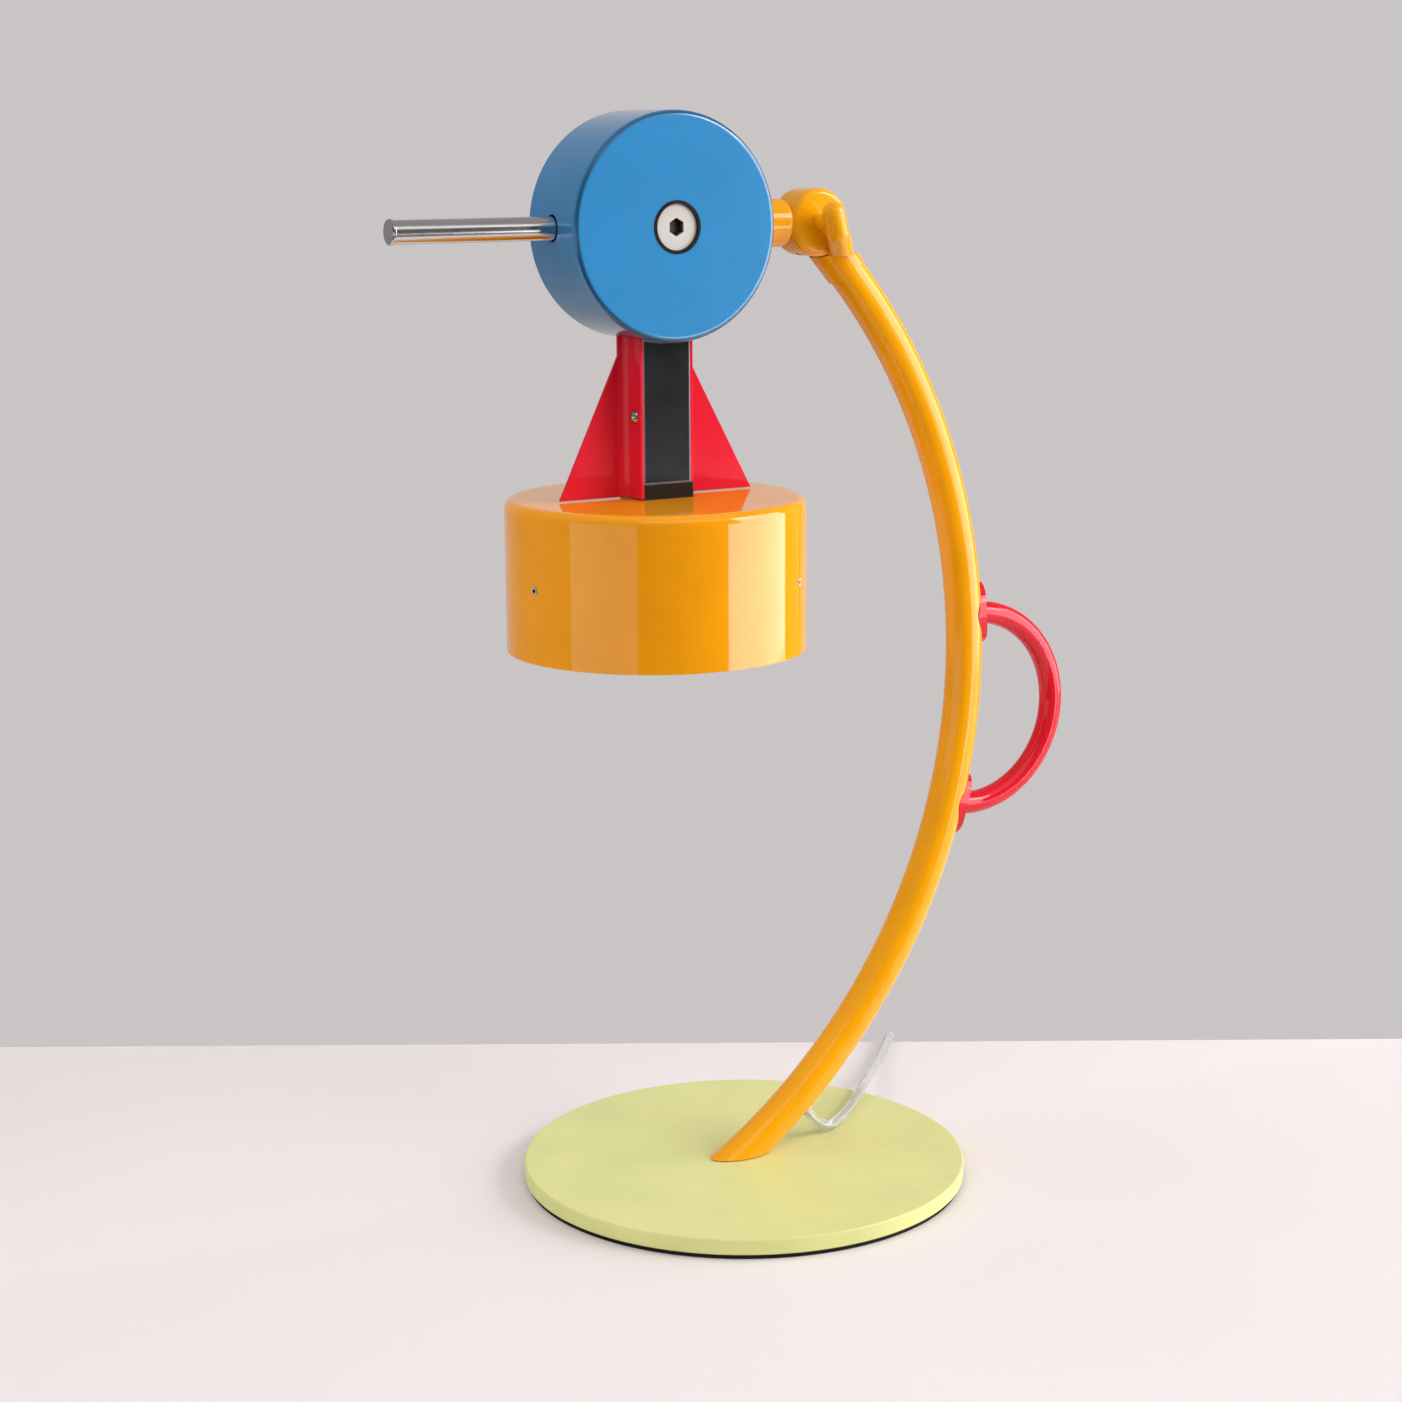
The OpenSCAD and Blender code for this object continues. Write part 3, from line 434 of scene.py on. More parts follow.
@dataclass(frozen=True)
class Moulded:
    """Rubber or plastic from a mould: fine grain, dusty patches."""

    name: str
    colour: Colour
    roughness: float
    dust: float = 1.35
    shine: float = 0.5
    patches: ClassVar[Pair] = (60.0, 6.0)
    patch_span: ClassVar[Pair] = (0.45, 0.75)
    smears: ClassVar[Pair] = (200.0, 3.0)
    spread: ClassVar[Pair] = (0.85, 1.15)
    grain: ClassVar[Pair] = (1400.0, 2.0)
    depth: ClassVar[float] = 0.00002
    edge: ClassVar[float] = 0.0003

    def material(self) -> Material:
        """Build the finish.

        Returns:
            Its material.
        """
        shader = Shader(self.name)
        patches = shader.ranged(shader.noise(*self.patches), 0.0, 1.0, self.patch_span)
        dusty = tinted(self.colour, self.dust)
        shader.link(shader.mixed(patches, self.colour, dusty), "Base Color")
        shader.roughen(shader.noise(*self.smears), self.roughness, self.spread)
        shader.relief(shader.noise(*self.grain), self.depth, self.edge)
        shader.fix(Specular_IOR_Level=self.shine)
        return shader.material


@dataclass(frozen=True)
class Clear:
    """Clear plastic or glass with faint streaks."""

    name: str
    colour: Colour
    roughness: float
    index: float = 1.45
    transmission: float = 1.0
    streaks: ClassVar[Pair] = (140.0, 3.0)
    streak_tint: ClassVar[float] = 0.92
    smears: ClassVar[Pair] = (260.0, 2.0)
    spread: ClassVar[Pair] = (0.7, 1.4)
    ripples: ClassVar[Pair] = (700.0, 2.0)
    depth: ClassVar[float] = 0.000004

    def material(self) -> Material:
        """Build the finish.

        Returns:
            Its material.
        """
        shader = Shader(self.name)
        streaks = shader.ranged(shader.noise(*self.streaks), 0.0, 1.0)
        streaked = tinted(self.colour, self.streak_tint)
        shader.link(shader.mixed(streaks, self.colour, streaked), "Base Color")
        shader.roughen(shader.noise(*self.smears), self.roughness, self.spread)
        shader.relief(shader.noise(*self.ripples), self.depth)
        shader.fix(Transmission_Weight=self.transmission, IOR=self.index)
        return shader.material


class Finishes:
    """Every finish on the lamp, made once and shared by the pieces."""

    ALL = (
        Paint("green_satin", (0.680, 0.682, 0.270), 0.36),
        Paint("yellow_gloss", (0.890, 0.335, 0.002), 0.06, coat=0.2, peel=0.000003),
        Paint("yellow_arm", (0.890, 0.362, 0.002), 0.13, coat=0.1, peel=0.000002, shine=0.4),
        # Blue: a darker edge tint paints a shade line along edges, and a painted shade darkens the
        # rounded rim and side
        Paint("blue_satin", (0.026, 0.224, 0.494), 0.17, coat=0.6, coat_roughness=0.15,
              edge_light=0.7, rim_shade=0.35),
        Paint("red_gloss", (0.675, 0.013, 0.031), 0.10, shine=0.28),
        Paint("red_handle", (0.640, 0.009, 0.024), 0.05, shine=0.40),
        # Black: a strong edge tint paints a highlight along the post's and foot's edges
        Paint("black_satin", (0.013, 0.013, 0.016), 0.16, edge=0.0009, edge_light=30.0, shine=0.25),
        Paint("black_foot", (0.014, 0.011, 0.010), 0.16, edge=0.0006, edge_light=6.0, shine=0.35),
        # Cream: painted shade deep in the bolt's hex socket
        Paint("cream_enamel", (0.550, 0.505, 0.465), 0.42, hole_shade=(0.010, 0.011, 0.015)),
        Metal("bright_plate", (0.70, 0.69, 0.68), 0.18, Grain.DRAWN_X, 500.0, 0.000002),
        Metal("screw_plate", (0.66, 0.64, 0.60), 0.20),
        # Plain steel and zinc: painted shade deep in screw sockets and holes
        Metal("plain_steel", (0.52, 0.52, 0.52), 0.30, hole_shade=(0.012, 0.012, 0.012)),
        Metal("zinc_plate", (0.88, 0.87, 0.85), 0.50, hole_shade=(0.012, 0.012, 0.012)),
        Metal("black_steel", (0.045, 0.042, 0.045), 0.38),
        Metal("pin_brass", (0.72, 0.60, 0.36), 0.22, Grain.DRAWN_X),
        Metal("spun_aluminium", (0.80, 0.80, 0.79), 0.26, Grain.SPUN, 900.0, 0.000002),
        Metal("copper_winding", (0.52, 0.23, 0.10), 0.34, Grain.TURNED, 700.0, 0.0002),
        Metal("tinned_wire", (0.90, 0.90, 0.90), 0.45),
        Metal("tungsten", (0.30, 0.29, 0.28), 0.45),
        Moulded("black_rubber", (0.010, 0.010, 0.010), 0.72, shine=0.15),
        Moulded("dark_plastic", (0.030, 0.030, 0.032), 0.45),
        Moulded("pale_ceramic", (0.62, 0.60, 0.54), 0.55, dust=0.9),
        Clear("clear_sheath", (0.97, 0.97, 0.98), 0.02, index=1.34, transmission=0.82),
        Clear("clear_plug", (0.78, 0.79, 0.80), 0.22, transmission=0.35),
        Clear("bulb_glass", (0.97, 0.97, 0.95), 0.02),
    )

    def __init__(self) -> None:
        """Build every material."""
        self.made = {finish.name: finish.material() for finish in self.ALL}

    def give(self, piece: Piece, name: str) -> None:
        """Put a finish on a piece, in place of what it has.

        Args:
            piece: The object to dress.
            name: The finish's name.
        """
        if not piece.material_slots:
            piece.data.materials.append(None)
        for held in piece.material_slots:
            held.material = self.made[name]


@dataclass(frozen=True)
class Panel:
    """A soft light that faces the lamp.

    Its turns are the directions of its two sides from the lamp, in degrees from +X, and its heights
    are those of its two edges above the floor. Glossy pieces show it only where it is mirrored.
    """

    name: str
    turns: Pair
    heights: Pair
    radiance: float
    mirrored: bool


@dataclass
class Studio:
    """Camera, light, floor and backdrop, none of them part of the lamp."""

    eye: Point = (-0.7245, -1.2260, 0.5611)
    look: Point = (0.4850, 0.8504, -0.2039)
    right: Point = (0.8681, -0.4964, -0.0057)
    up: Point = (0.1061, 0.1742, 0.9790)
    view_angle: float = 28.645
    clip: Pair = (0.05, 60.0)
    grey: Colour = (0.585, 0.560, 0.555)
    pale: Colour = (0.817, 0.760, 0.760)
    pale_patches: Pair = (3.0, 3.0)
    pale_tint: float = 0.985
    pale_roughness: float = 0.55
    floor_reach: Point = (0.40, 0.60, 1.5)
    board_way: Point = (0.495, 0.869, 0.0)
    board_depth: float = 0.2183
    board_size: Pair = (1.15, 1.0)
    left_way: Point = (-0.77, 0.64, 0.0)
    # The room's light along a direction: where it starts and ends, and its strength at these two
    back_light: Quad = (0.55, 0.97, 0.08, 0.55)
    top_light: Quad = (0.45, 1.0, 0.0, 0.35)
    left_light: Quad = (0.5, 1.0, 0.0, 0.2)
    panel_middle: float = -0.05
    panel_far: float = 2.4
    panels: ClassVar[tuple[Panel, ...]] = (
        Panel("window_right", (307.0, 355.0), (-0.5, 1.9), 4.6, True),
        Panel("window_right_low", (296.5, 307.0), (-0.5, 0.06), 4.6, True),
        Panel("window_right_high", (305.0, 330.0), (1.3, 2.3), 7.0, True),
        Panel("window_right_soft", (315.0, 375.0), (-0.2, 1.6), 1.3, False),
        Panel("window_left", (174.5, 202.0), (-0.3, 0.5), 0.88, True),
        Panel("window_left_high", (174.5, 202.0), (0.5, 2.4), 1.7, False),
        Panel("window_near", (202.0, 227.5), (-0.3, 0.5), 0.76, True),
        Panel("window_near_high", (202.0, 227.5), (0.5, 2.4), 1.8, False),
        Panel("sky_front", (225.0, 305.0), (1.9, 4.6), 0.8, True),
        Panel("sky_front_soft", (225.0, 305.0), (1.9, 4.6), 1.6, False),
        Panel("sky_left_soft", (165.0, 225.0), (2.2, 4.6), 1.0, False),
        Panel("sky_rear_soft", (105.0, 165.0), (1.8, 4.2), 1.8, False),
    )

    def build(self) -> None:
        """Set up everything round the lamp."""
        self._camera()
        self._world()
        self._floor()
        self._board()
        for panel in self.panels:
            self._hang(panel)

    def _camera(self) -> None:
        """Stand the camera where the photograph was taken from."""
        data = bpy.data.cameras.new("photo_camera")
        data.sensor_fit = "HORIZONTAL"
        data.angle = math.radians(self.view_angle)
        data.clip_start, data.clip_end = self.clip
        camera = bpy.data.objects.new("photo_camera", data)
        bpy.context.scene.collection.objects.link(camera)
        axes = Matrix((self.right, self.up, tuple(-v for v in self.look))).transposed()
        turn = axes.to_quaternion().normalized().to_matrix().to_4x4()
        camera.matrix_world = Matrix.Translation(self.eye) @ turn
        bpy.context.scene.camera = camera

    def _world(self) -> None:
        """Fill the room with soft grey light: pale behind, above and left, dark in front."""
        scene = bpy.context.scene
        scene.view_settings.view_transform = "Standard"
        world = bpy.data.worlds.new("room")
        world.use_nodes = True
        tree = world.node_tree
        way = tree.nodes.new("ShaderNodeTexCoord").outputs["Generated"]
        total = 0.0
        for axis, light in ((self.board_way, self.back_light), (UP, self.top_light),
                            (self.left_way, self.left_light)):
            joined = tree.nodes.new("ShaderNodeMath")
            joined.operation = "ADD"
            feed(tree, joined.inputs[0], total)
            share = mapped(tree, dotted(tree, way, axis), light[:2], light[2:])
            feed(tree, joined.inputs[1], share)
            total = joined.outputs["Value"]
        background = tree.nodes["Background"]
        tone = (c / max(self.grey) for c in self.grey)
        background.inputs["Color"].default_value = (*tone, 1.0)
        feed(tree, background.inputs["Strength"], total)
        scene.world = world

    def _ways(self) -> tuple[Vector, Vector]:
        """The level directions towards the board and along it, to the right."""
        along = Vector(self.board_way)
        return along, Vector((along.y, -along.x, 0.0))

    def _plane(self, name: str, corners: list[Vector]) -> Piece:
        """A flat sheet of the stage.

        Args:
            name: The sheet's name.
            corners: Its four corners.

        Returns:
            The new object.
        """
        mesh = bpy.data.meshes.new(name)
        mesh.from_pydata([tuple(c) for c in corners], [], [(0, 1, 2, 3)])
        sheet = bpy.data.objects.new(name, mesh)
        bpy.context.scene.collection.objects.link(sheet)
        return sheet

    def _floor(self) -> None:
        """Lay the pale floor."""
        along, side = self._ways()
        front, back, wide = self.floor_reach
        corners = ((-front, -wide), (-front, wide), (back, wide), (back, -wide))
        floor = self._plane("floor", [along * u + side * v for u, v in corners])
        shader = Shader("pale_floor")
        patches = shader.ranged(shader.noise(*self.pale_patches), 0.0, 1.0)
        dark = tinted(self.pale, self.pale_tint)
        shader.link(shader.mixed(patches, self.pale, dark), "Base Color")
        shader.fix(Roughness=self.pale_roughness)
        floor.data.materials.append(shader.material)

    def _board(self) -> None:
        """Stand a grey board behind the lamp that can be seen only from the front."""
        along, side = self._ways()
        wide, high = self.board_size
        left, right = (along * self.board_depth + side * way for way in (-wide / 2, wide / 2))
        top = Vector(UP) * high
        board = self._plane("grey_board", [left, right, right + top, left + top])
        material = bpy.data.materials.new("grey_board")
        material.use_nodes = True
        tree = material.node_tree
        tree.nodes.remove(tree.nodes["Principled BSDF"])
        glow = tree.nodes.new("ShaderNodeEmission")
        glow.inputs["Color"].default_value = (*self.grey, 1.0)
        clear = tree.nodes.new("ShaderNodeBsdfTransparent")
        mix = tree.nodes.new("ShaderNodeMixShader")
        facing = tree.nodes.new("ShaderNodeNewGeometry")
        tree.links.new(facing.outputs["Backfacing"], mix.inputs["Fac"])
        tree.links.new(glow.outputs["Emission"], mix.inputs[1])
        tree.links.new(clear.outputs["BSDF"], mix.inputs[2])
        tree.links.new(mix.outputs["Shader"], tree.nodes["Material Output"].inputs["Surface"])
        board.data.materials.append(material)
        board.visible_shadow = False
        board.visible_glossy = False
        board.visible_diffuse = False

    def _hang(self, panel: Panel) -> None:
        """Hang a soft light.

        Args:
            panel: The light's place and brightness.
        """
        start, end = (math.radians(turn) for turn in panel.turns)
        low, high = panel.heights
        data = bpy.data.lights.new(panel.name, "AREA")
        data.shape = "RECTANGLE"
        data.size = 2 * self.panel_far * math.tan((end - start) / 2)
        data.size_y = high - low
        data.energy = panel.radiance * math.pi * data.size * data.size_y
        light = bpy.data.objects.new(panel.name, data)
        bpy.context.scene.collection.objects.link(light)
        middle = (start + end) / 2
        way = Vector((math.cos(middle), math.sin(middle), 0.0))
        centre = Vector((self.panel_middle, 0.0, (low + high) / 2))
        light.location = centre + way * self.panel_far
        light.rotation_mode = "QUATERNION"
        light.rotation_quaternion = way.to_track_quat("Z", "Y")
        light.visible_camera = False
        light.visible_glossy = panel.mirrored


def lofted(name: str, rings: list[list[Vector]], around: bool = False) -> Piece:
    """A closed smooth skin over rings of points.

    Args:
        name: The piece's name.
        rings: Rings with the same number of points.
        around: Whether the last ring joins the first, in place of two flat ends.

    Returns:
        The new object.
    """
    work = bmesh.new()
    held = [[work.verts.new(point) for point in ring] for ring in rings]
    count = len(held[0])
    for first, second in zip(held, held[1:] + held[:1] if around else held[1:]):
        for k in range(count):
            on = (k + 1) % count
            work.faces.new((first[k], first[on], second[on], second[k]))
    if not around:
        work.faces.new(list(reversed(held[0])))
        work.faces.new(held[-1])
    bmesh.ops.recalc_face_normals(work, faces=work.faces)
    mesh = bpy.data.meshes.new(name)
    work.to_mesh(mesh)
    work.free()
    mesh.shade_smooth()
    piece = bpy.data.objects.new(name, mesh)
    bpy.context.scene.collection.objects.link(piece)
    return piece


def swept(name: str, line: list[Vector], radius: float | list[float], sides: int) -> Piece:
    """A closed tube along a line, with flat ends.

    Args:
        name: The piece's name.
        line: Points of the tube's middle.
        radius: Its radius, or one radius for each point.
        sides: Points in each ring.

    Returns:
        The new object.
    """
    radii = radius if isinstance(radius, list) else [radius] * len(line)
    normal = Vector(UP)
    rings = []
    for i, point in enumerate(line):
        way = heading(line, i).normalized()
        normal = (normal - way * normal.dot(way)).normalized()
        side = way.cross(normal)
        rings.append([point + radii[i] * (math.cos(a) * side + math.sin(a) * normal)
                      for a in angles(sides)])
    return lofted(name, rings)


@dataclass
class Assembly:
    """One sub-assembly: frame nodes that get a finish, and pieces that are made here."""

    body: ClassVar[Body] = Body.STAND
    finishes: ClassVar[Dress] = {}

    def dress(self, nodes: dict[str, Piece], stock: Finishes) -> None:
        """Put the finishes on the frame's nodes.

        Args:
            nodes: The frame's objects by name.
            stock: The lamp's finishes.
        """
        for finish, names in self.finishes.items():
            for name in names:
                stock.give(nodes[name], finish)
            LOG.info("%s: %s on %s", type(self).__name__.lower(), finish, ", ".join(names))

    def build(self, stock: Finishes) -> None:
        """Make the pieces that the frame doesn't show; most sub-assemblies have none."""

    def add(self, piece: Piece, stock: Finishes, finish: str, slot: str) -> Piece:
        """Dress a piece made here and fix it to the body.

        Args:
            piece: The piece.
            stock: The lamp's finishes.
            finish: The finish's name.
            slot: A slot name for the piece; not used.

        Returns:
            The piece.
        """
        stock.give(piece, finish)
        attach(piece, self.body.value)
        LOG.info("%s: made %s in %s", type(self).__name__.lower(), piece.name, finish)
        return piece


@dataclass
class Base(Assembly):
    """The round disc with its pad and what holds the arm on it."""

    finishes: ClassVar[Dress] = {
        "green_satin": ("base_disc",),
        "black_rubber": ("base_pad",),
        "plain_steel": ("foot_plug", "foot_bolt", "foot_dowel"),
    }


@dataclass
class Arm(Assembly):
    """The bent tube, its fork and the pivot."""

    finishes: ClassVar[Dress] = {
        "yellow_arm": ("arm_tube", "arm_fork", "friction_washer_front", "friction_washer_rear"),
        "clear_plug": ("cord_gland",),
        "dark_plastic": ("arm_lead",),
        "plain_steel": ("pivot_bolt",),
    }


@dataclass
class Handle(Assembly):
    """The bowed rod with its two leaf saddles."""

    finishes: ClassVar[Dress] = {
        "red_handle": ("handle_rod", "saddle_upper", "saddle_lower"),
        "black_steel": ("handle_screw_upper", "handle_screw_lower"),
    }


@dataclass
class Drum(Assembly):
    """The knuckle and the drum with all it holds."""

    body: ClassVar[Body] = Body.HEAD
    finishes: ClassVar[Dress] = {
        "yellow_arm": ("knuckle",),
        "blue_satin": ("drum_shell", "drum_cover"),
        "cream_enamel": ("eye_bolt",),
        "black_rubber": ("eye_ring", "pad_front", "pad_rear"),
        "screw_plate": ("cover_nut",),
        "plain_steel": ("stub_nut", "clamp_plate", "eye_nut"),
        "copper_winding": ("transformer",),
        "dark_plastic": ("switch_body", "switch_carrier"),
    }


@dataclass
class Beak(Assembly):
    """The bright rod that turns the switch."""

    body: ClassVar[Body] = Body.BEAK
    finishes: ClassVar[Dress] = {
        "bright_plate": ("beak_rod", "beak_cap"),
        "plain_steel": ("switch_spindle",),
    }


@dataclass
class Neck(Assembly):
    """The black post between its two finned brackets."""

    body: ClassVar[Body] = Body.HEAD
    finishes: ClassVar[Dress] = {
        "black_satin": ("post",),
        "black_foot": ("post_foot",),
        "red_gloss": ("fin_left", "fin_right"),
        "screw_plate": ("fin_screw_left", "fin_screw_right"),
        "plain_steel": ("post_clamp", "post_bolt_left", "post_bolt_right"),
        "dark_plastic": ("lamp_lead",),
    }


@dataclass
class Shade(Assembly):
    """The round shade with its reflector and capsule bulb. Lengths are in millimetres."""

    sides: int = 32
    wall: float = 0.7
    holder_gap: float = 0.2
    # The glass from its pip up, as shares of its height and of its outer radius
    pip: tuple[Pair, ...] = ((0.000, 0.10), (0.015, 0.22), (0.075, 0.25))
    dome: Pair = (0.11, 0.16)
    dome_turns: tuple[float, ...] = (20.0, 34.0, 48.0, 62.0, 76.0, 90.0)
    shoulder: Pair = (0.70, 1.0)
    # The pinch's half width and depth, then shares of the height, the width and the depth
    pinch: Pair = (4.2, 1.3)
    pinch_shape: tuple[Point, ...] = ((0.78, 1.1, 1.5), (1.0, 1.0, 1.0), (1.0, 0.2, 0.2),
                                      (0.74, 0.2, 0.2))
    # The hollow inside from the pinch down, as shares of the height and of the inner radius
    hollow: tuple[Pair, ...] = ((0.68, 1.0), (0.30, 1.0), (0.18, 0.6), (0.14, 0.1))
    filament_up: float = 0.45
    filament_radius: float = 1.1
    filament_length: float = 7.0
    filament_turns: int = 9
    turn_points: int = 12
    wire: float = 0.35
    wire_sides: int = 6
    pin_out: float = 3.2
    pin_low: float = 6.0
    leg_up: float = 3.0
    body: ClassVar[Body] = Body.HEAD
    finishes: ClassVar[Dress] = {
        "yellow_gloss": ("shade_shell",),
        "spun_aluminium": ("reflector",),
        "pale_ceramic": ("lampholder",),
        "plain_steel": ("shade_bolt_front", "shade_bolt_rear"),
        "zinc_plate": ("grub_screw_left", "grub_screw_front", "grub_screw_rear"),
    }

    def _ring(self, middle: Vector, wide: float, deep: float) -> list[Vector]:
        """An oval ring of points round a vertical axis, with half its width and depth given."""
        return [middle + Vector((wide * math.cos(a), deep * math.sin(a), 0.0))
                for a in angles(self.sides)]

    def _envelope(self, foot: Vector, radius: float, height: float) -> Piece:
        """The glass: pip, round end, straight wall and flat pinch, hollow inside.

        Args:
            foot: The lowest point.
            radius: The glass's outer radius.
            height: From the pip to the holder.

        Returns:
            The new object.
        """
        inner = radius - self.wall * MM
        wide, deep = (size * MM for size in self.pinch)
        start, rise = self.dome
        dome = [(start + rise * (1 - math.cos(a)), math.sin(a))
                for a in map(math.radians, self.dome_turns)]
        shape = [(up, share * radius, share * radius)
                 for up, share in (*self.pip, *dome, self.shoulder)]
        shape += [(up, across * wide, through * deep) for up, across, through in self.pinch_shape]
        shape += [(up, share * inner, share * inner) for up, share in self.hollow]
        return lofted("bulb_envelope", [self._ring(foot + Vector(UP) * (up * height), x, y)
                                        for up, x, y in shape])

    def _filament(self, foot: Vector, holder: float, top: float) -> Piece:
        """The filament's coil with its two legs and pins, as one wire.

        Args:
            foot: The glass's lowest point.
            holder: Height of the holder's underside.
            top: Height of the pins' upper ends.

        Returns:
            The new object.
        """
        level = foot.z + self.filament_up * (holder - foot.z)
        radius, steps = self.filament_radius * MM, self.turn_points * self.filament_turns
        coil = []
        for t in (k / steps for k in range(steps + 1)):
            a = 2 * math.pi * self.filament_turns * t
            along = (t - 0.5) * self.filament_length * MM
            coil.append(Vector((foot.x + along, foot.y + radius * math.cos(a),
                                level + radius * math.sin(a))))
        heights = (top, holder - self.pin_low * MM, level + self.leg_up * MM)
        pin = self.pin_out * MM
        legs = [Vector((foot.x - pin, foot.y, z)) for z in heights]
        ends = [Vector((foot.x + pin, foot.y, z)) for z in reversed(heights)]
        line = [*legs, *coil, *ends]
        return swept("bulb_filament", line, self.wire * MM, self.wire_sides)

    def build(self, stock: Finishes) -> None:
        """Make the bulb's glass, its filament and its two pins.

        Args:
            stock: The lamp's finishes.
        """
        low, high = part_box("bulb")
        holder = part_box("lampholder")[0].z
        foot = Vector(((low.x + high.x) / 2, (low.y + high.y) / 2, low.z))
        height = holder - low.z - self.holder_gap * MM
        envelope = self._envelope(foot, (high.x - low.x) / 2, height)
        glass = self.add(envelope, stock, "bulb_glass", "bulb_glass")
        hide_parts("bulb")
        self.add(self._filament(foot, holder, high.z), stock, "tungsten", "steel")


@dataclass
class Cord(Assembly):
    """The clear free cord: out of the arm, over the disc, along the table, into a tied coil.

    Lengths are in millimetres and turns in degrees.
    """

    diameter: float = 5.5
    sides: int = 20
    wire: float = 0.9
    wire_sides: int = 8
    apart: float = 1.2
    # The arm's bend and the gland in it
    top: float = 11.0
    bend_centre: Pair = (-176.562, 278.0)
    bend_out: float = 329.8
    gland_up: float = 18.0
    exit: Vector = field(init=False)
    exit_gap: float = 0.05
    # The lead over the disc and the table
    lay_gap: float = 0.15
    lay_way: Point = (0.8, 0.6, 0.0)
    lead_bend: float = 4.6
    on_disc: tuple[Pair, ...] = ((80.5, 21.0), (96.0, 35.6), (110.6, 51.0))
    off_disc: Pair = (136.0, 80.0)
    on_table: tuple[Pair, ...] = ((163.0, 111.0), (186.0, 137.0))
    lead_end: float = 8.0
    bend_steps: int = 6
    spans: int = 6
    # The coil, two layers of turns, and the tail that leaves it
    coil_middle: Pair = (190.0, 208.0)
    coil_inner: float = 24.0
    coil_step: float = 6.0
    coil_turns: float = 3.5
    coil_height: float = 4.25
    coil_in: float = 312.0
    coil_rise: float = 0.5
    turn_points: int = 40
    tail: float = 42.0
    tail_steps: int = 6
    # The plug: along, half width, half thickness and squareness of each ring
    plug_thick: float = 13.6
    plug_sides: int = 40
    plug_shape: tuple[Quad, ...] = (
        (9.0, 3.8, 3.8, 1.0), (9.4, 5.2, 5.0, 0.95), (11.0, 7.0, 6.0, 0.80),
        (14.0, 9.6, 6.6, 0.60), (18.0, 12.2, 6.75, 0.48), (24.0, 14.9, 6.8, 0.42),
        (31.0, 17.0, 6.8, 0.40), (34.5, 17.3, 6.75, 0.40), (35.7, 16.7, 6.4, 0.42),
        (36.0, 15.6, 5.6, 0.45))
    boot: float = 26.0
    boot_inside: float = 10.0
    boot_sides: int = 24
    boot_steps: int = 60
    boot_radius: float = 2.95
    boot_taper: float = 2.15
    rib: float = 0.32
    rib_steps: int = 6
    rib_span: tuple[int, int] = (6, 56)
    # The strap: its room round the coil, and across and thickness of its section
    tie_turn: float = 100.0
    tie_corner: float = 3.4
    tie_steps: int = 8
    tie_room: Pair = (1.7, 0.8)
    tie_section: tuple[Pair, ...] = (
        (-4.0, 0.15), (-3.7, 0.5), (3.7, 0.5), (4.0, 0.15),
        (4.0, -0.15), (3.7, -0.45), (-3.7, -0.45), (-4.0, -0.15))
    finishes: ClassVar[Dress] = {"pin_brass": ("plug_pin_left", "plug_pin_right")}

    def _way(self, points: list[Vector], i: int) -> Vector:
        """Direction of a smooth curve at one of the points that it passes.

        Args:
            points: The points.
            i: The point's number.

        Returns:
            A unit vector.
        """
        if i == 0:
            return (points[1] - points[0]).normalized()
        if i == len(points) - 1:
            return (points[i] - points[i - 1]).normalized()
        back, on = points[i] - points[i - 1], points[i + 1] - points[i]
        return (back.normalized() * on.length + on.normalized() * back.length).normalized()

    def _smooth(self, points: list[Vector]) -> list[Vector]:
        """A smooth curve through points.

        Args:
            points: The points to pass.

        Returns:
            The curve's points, without the last.
        """
        curve = []
        for i in range(len(points) - 1):
            length = (points[i + 1] - points[i]).length
            for t in (k / self.spans for k in range(self.spans)):
                q = eased(t)
                pull = (1 - t) * self._way(points, i) - t * self._way(points, i + 1)
                curve.append((1 - q) * points[i] + q * points[i + 1] + t * (1 - t) * length * pull)
        return curve

    def _round(self, angle: float, radius: float, height: float) -> Vector:
        """A point round the coil's middle."""
        x, y = self.coil_middle
        return Vector((x + radius * math.cos(angle), y + radius * math.sin(angle), height))

    def _lead(self, turn: float, coil_way: Vector) -> list[Vector]:
        """Points that the cord passes from the arm to the coil.

        Args:
            turn: Where round the coil it arrives, in radians.
            coil_way: Its direction there.

        Returns:
            The points.
        """
        angle = -math.asin((self.bend_centre[1] - self.top - self.gland_up) / self.bend_out)
        out = Vector((math.cos(angle), 0.0, math.sin(angle)))
        face = Vector((self.bend_centre[0], 0.0, self.bend_centre[1])) + self.bend_out * out
        lay, way = self.top + self.diameter / 2 + self.lay_gap, Vector(self.lay_way)
        radius, bend = self.lead_bend * self.diameter, math.acos(out.dot(way))
        side = (way - math.cos(bend) * out).normalized()
        drop = radius * (math.sin(bend) * out.z + (1 - math.cos(bend)) * side.z)
        straight = (lay - face.z - drop) / out.z
        arc = [face + straight * out + radius * (math.sin(a) * out + (1 - math.cos(a)) * side)
               for a in (bend * k / self.bend_steps for k in range(self.bend_steps + 1))]
        outer = self.coil_inner + self.coil_step * self.coil_turns
        end = self._round(turn, outer, self.coil_height) - self.diameter * coil_way
        return [face + self.exit_gap * out, face + straight / 2 * out, *arc,
                arc[-1] + self.diameter * way,
                *(Vector((x, y, lay)) for x, y in self.on_disc),
                Vector((*self.off_disc, (lay + self.coil_height) / 2)),
                *(Vector((x, y, self.coil_height)) for x, y in self.on_table),
                end - self.lead_end * coil_way, end]

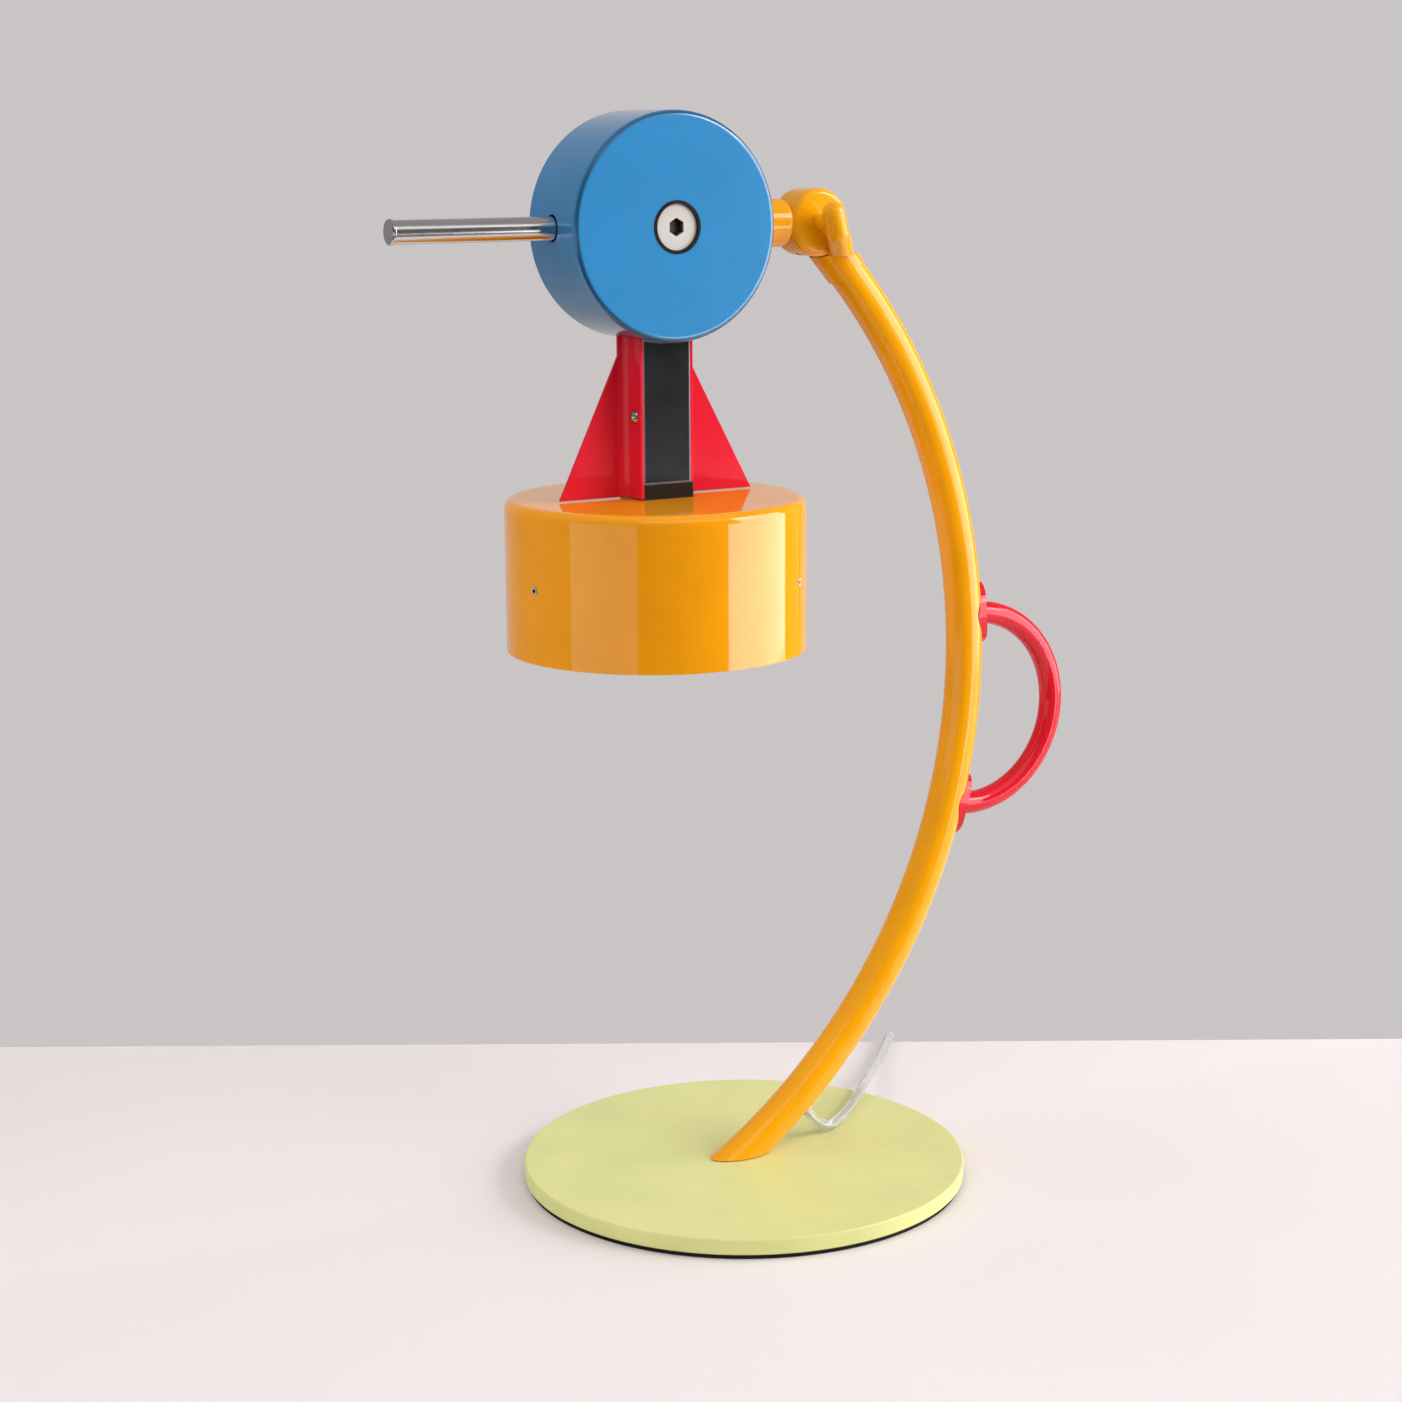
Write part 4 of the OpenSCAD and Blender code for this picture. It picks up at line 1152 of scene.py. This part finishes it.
    def _coil(self, turn: float) -> list[Vector]:
        """The coil: inwards in the lower layer, up, and outwards in the upper one.

        Args:
            turn: Where it starts, in radians.

        Returns:
            The points.
        """
        points = []
        for i in range(round(2 * self.coil_turns * self.turn_points) + 1):
            turns = i / self.turn_points
            radius = self.coil_inner + self.coil_step * abs(self.coil_turns - turns)
            risen = (turns - self.coil_turns + self.coil_rise / 2) / self.coil_rise
            height = self.coil_height + self.coil_step * min(max(risen, 0.0), 1.0)
            points.append(self._round(turn + 2 * math.pi * turns, radius, height))
        return points

    def _tail(self, start: Vector, way: Vector) -> list[Vector]:
        """The last piece, from the coil down to the plug.

        Args:
            start: Where the coil ends.
            way: The direction there.

        Returns:
            The points.
        """
        fall = Vector((0.0, 0.0, self.plug_thick / 2 + self.lay_gap - start.z))
        points = []
        for t in (k / self.tail_steps for k in range(1, self.tail_steps + 1)):
            points.append(start + t * (self.tail - self.diameter) * way + eased(t) * fall)
        return [*points, start + self.tail * way + fall]

    def line(self) -> list[Vector]:
        """The cord's middle from the arm to the plug.

        Returns:
            The points, in metres.
        """
        turn = math.radians(self.coil_in)
        way = Vector((-math.sin(turn), math.cos(turn), 0.0))
        lead = self._lead(turn, way)
        self.exit = lead[0] * MM
        line = [*self._smooth(lead), lead[-1], *self._coil(turn)]
        return [point * MM for point in (*line, *self._tail(line[-1], way))]

    def _plug(self, end: Vector, way: Vector) -> Piece:
        """The moulded plug.

        Args:
            end: The cord's end.
            way: The level direction there.

        Returns:
            The new object.
        """
        side, up = Vector((-way.y, way.x, 0.0)), Vector(UP)
        rings = []
        for along, wide, thick, square in self.plug_shape:
            ring = []
            for a in angles(self.plug_sides):
                across, over = (math.copysign(abs(v) ** square, v)
                                for v in (math.cos(a), math.sin(a)))
                ring.append(end + (along * way + wide * across * side + thick * over * up) * MM)
            rings.append(ring)
        return lofted("plug_moulding", rings)

    def _boot(self, line: list[Vector], way: Vector) -> Piece:
        """The ribbed boot that the cord wears where it enters the plug.

        Args:
            line: The cord's middle.
            way: The level direction at its end.

        Returns:
            The new object.
        """
        end = line[-1]
        back = [end]
        for point in reversed(line[:-1]):
            back.append(point)
            if (point - end).length > self.boot * MM:
                break
        middle = self._evenly(list(reversed(back)), self.boot_steps + 1)
        first, last = self.rib_span
        radii = []
        for k in range(self.boot_steps + 1):
            ribbed = first < k < last and k % self.rib_steps < self.rib_steps / 2
            radius = self.boot_radius + self.boot_taper * k / self.boot_steps
            radii.append((radius + (self.rib if ribbed else 0.0)) * MM)
        inside = end + way * (self.boot_inside * MM)
        return swept("plug_boot", [*middle, inside], [*radii, radii[-1]], self.boot_sides)

    def _evenly(self, line: list[Vector], count: int) -> list[Vector]:
        """Points at equal steps along a line.

        Args:
            line: The line.
            count: How many points to give.

        Returns:
            The points.
        """
        lengths = [(b - a).length for a, b in zip(line, line[1:])]
        whole, points = sum(lengths), []
        for k in range(count):
            left = whole * k / (count - 1)
            i = 0
            while i < len(lengths) - 1 and left > lengths[i]:
                left -= lengths[i]
                i += 1
            points.append(line[i].lerp(line[i + 1], min(1.0, left / lengths[i])))
        return points

    def _tie(self) -> Piece:
        """The flat strap round the coil, with rounded corners.

        Returns:
            The new object.
        """
        turn = math.radians(self.tie_turn)
        out = Vector((math.cos(turn), math.sin(turn), 0.0))
        side = Vector((-math.sin(turn), math.cos(turn), 0.0))
        middle = Vector((*self.coil_middle, 0.0))
        half, corner, (beside, over) = self.diameter / 2, self.tie_corner, self.tie_room
        near = self.coil_inner - half - beside + corner
        far = self.coil_inner + self.coil_step * self.coil_turns + half + beside - corner
        low = self.coil_height - half - over + corner
        high = self.coil_height + self.coil_step + half + over - corner
        rings = []
        for x, z, start in ((far, high, 0), (near, high, 90), (near, low, 180), (far, low, 270)):
            for k in range(self.tie_steps + 1):
                a = math.radians(start + 90 * k / self.tie_steps)
                ring = []
                for across, thick in self.tie_section:
                    reach = corner + thick
                    ring.append((middle + (x + reach * math.cos(a)) * out + across * side
                                 + Vector((0.0, 0.0, z + reach * math.sin(a)))) * MM)
                rings.append(ring)
        return lofted("coil_strap", rings, around=True)

    def _beside(self, line: list[Vector], offset: float) -> list[Vector]:
        """A line that keeps beside another, level with it.

        Args:
            line: The line to follow.
            offset: How far to the left it stays.

        Returns:
            The points.
        """
        points = []
        for i, point in enumerate(line):
            way = heading(line, i)
            side = Vector((-way.y, way.x, 0.0)).normalized()
            points.append(point + offset * MM * side)
        return points

    def build(self, stock: Finishes) -> None:
        """Args:
            stock: The lamp's finishes.
        """
        line = self.line()
        tube = swept("cord_sheath", line, self.diameter / 2 * MM, self.sides)
        sheath = self.add(tube, stock, "clear_sheath", "clear_cord")
        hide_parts("cord_lead", "cord_coil")
        last = (line[-1] - line[-2]).normalized()
        way = Vector((last.x, last.y, 0.0)).normalized()
        plug = self.add(self._plug(line[-1], way), stock, "clear_plug", "clear_plug")
        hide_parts("plug_body")
        boot = self.add(self._boot(line, way), stock, "clear_plug", "clear_plug")
        strap = self.add(self._tie(), stock, "dark_plastic", "dark_plastic")
        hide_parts("coil_tie")
        for k, offset in ((1, self.apart), (2, -self.apart)):
            beside = self._beside(line, offset)
            wire = swept(f"cord_wire_{k}", beside, self.wire / 2 * MM, self.wire_sides)
            self.add(wire, stock, "tinned_wire", "steel")


def main() -> None:
    """Build the lamp round its frame."""
    logging.basicConfig(level=logging.INFO, format="%(name)s: %(message)s")
    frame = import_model()
    stock = Finishes()
    Studio().build()
    for assembly in (Cord(), Base(), Arm(), Handle(), Drum(), Beak(), Neck(), Shade()):
        assembly.dress(frame["nodes"], stock)
        assembly.build(stock)


if __name__ == "__main__":
    main()
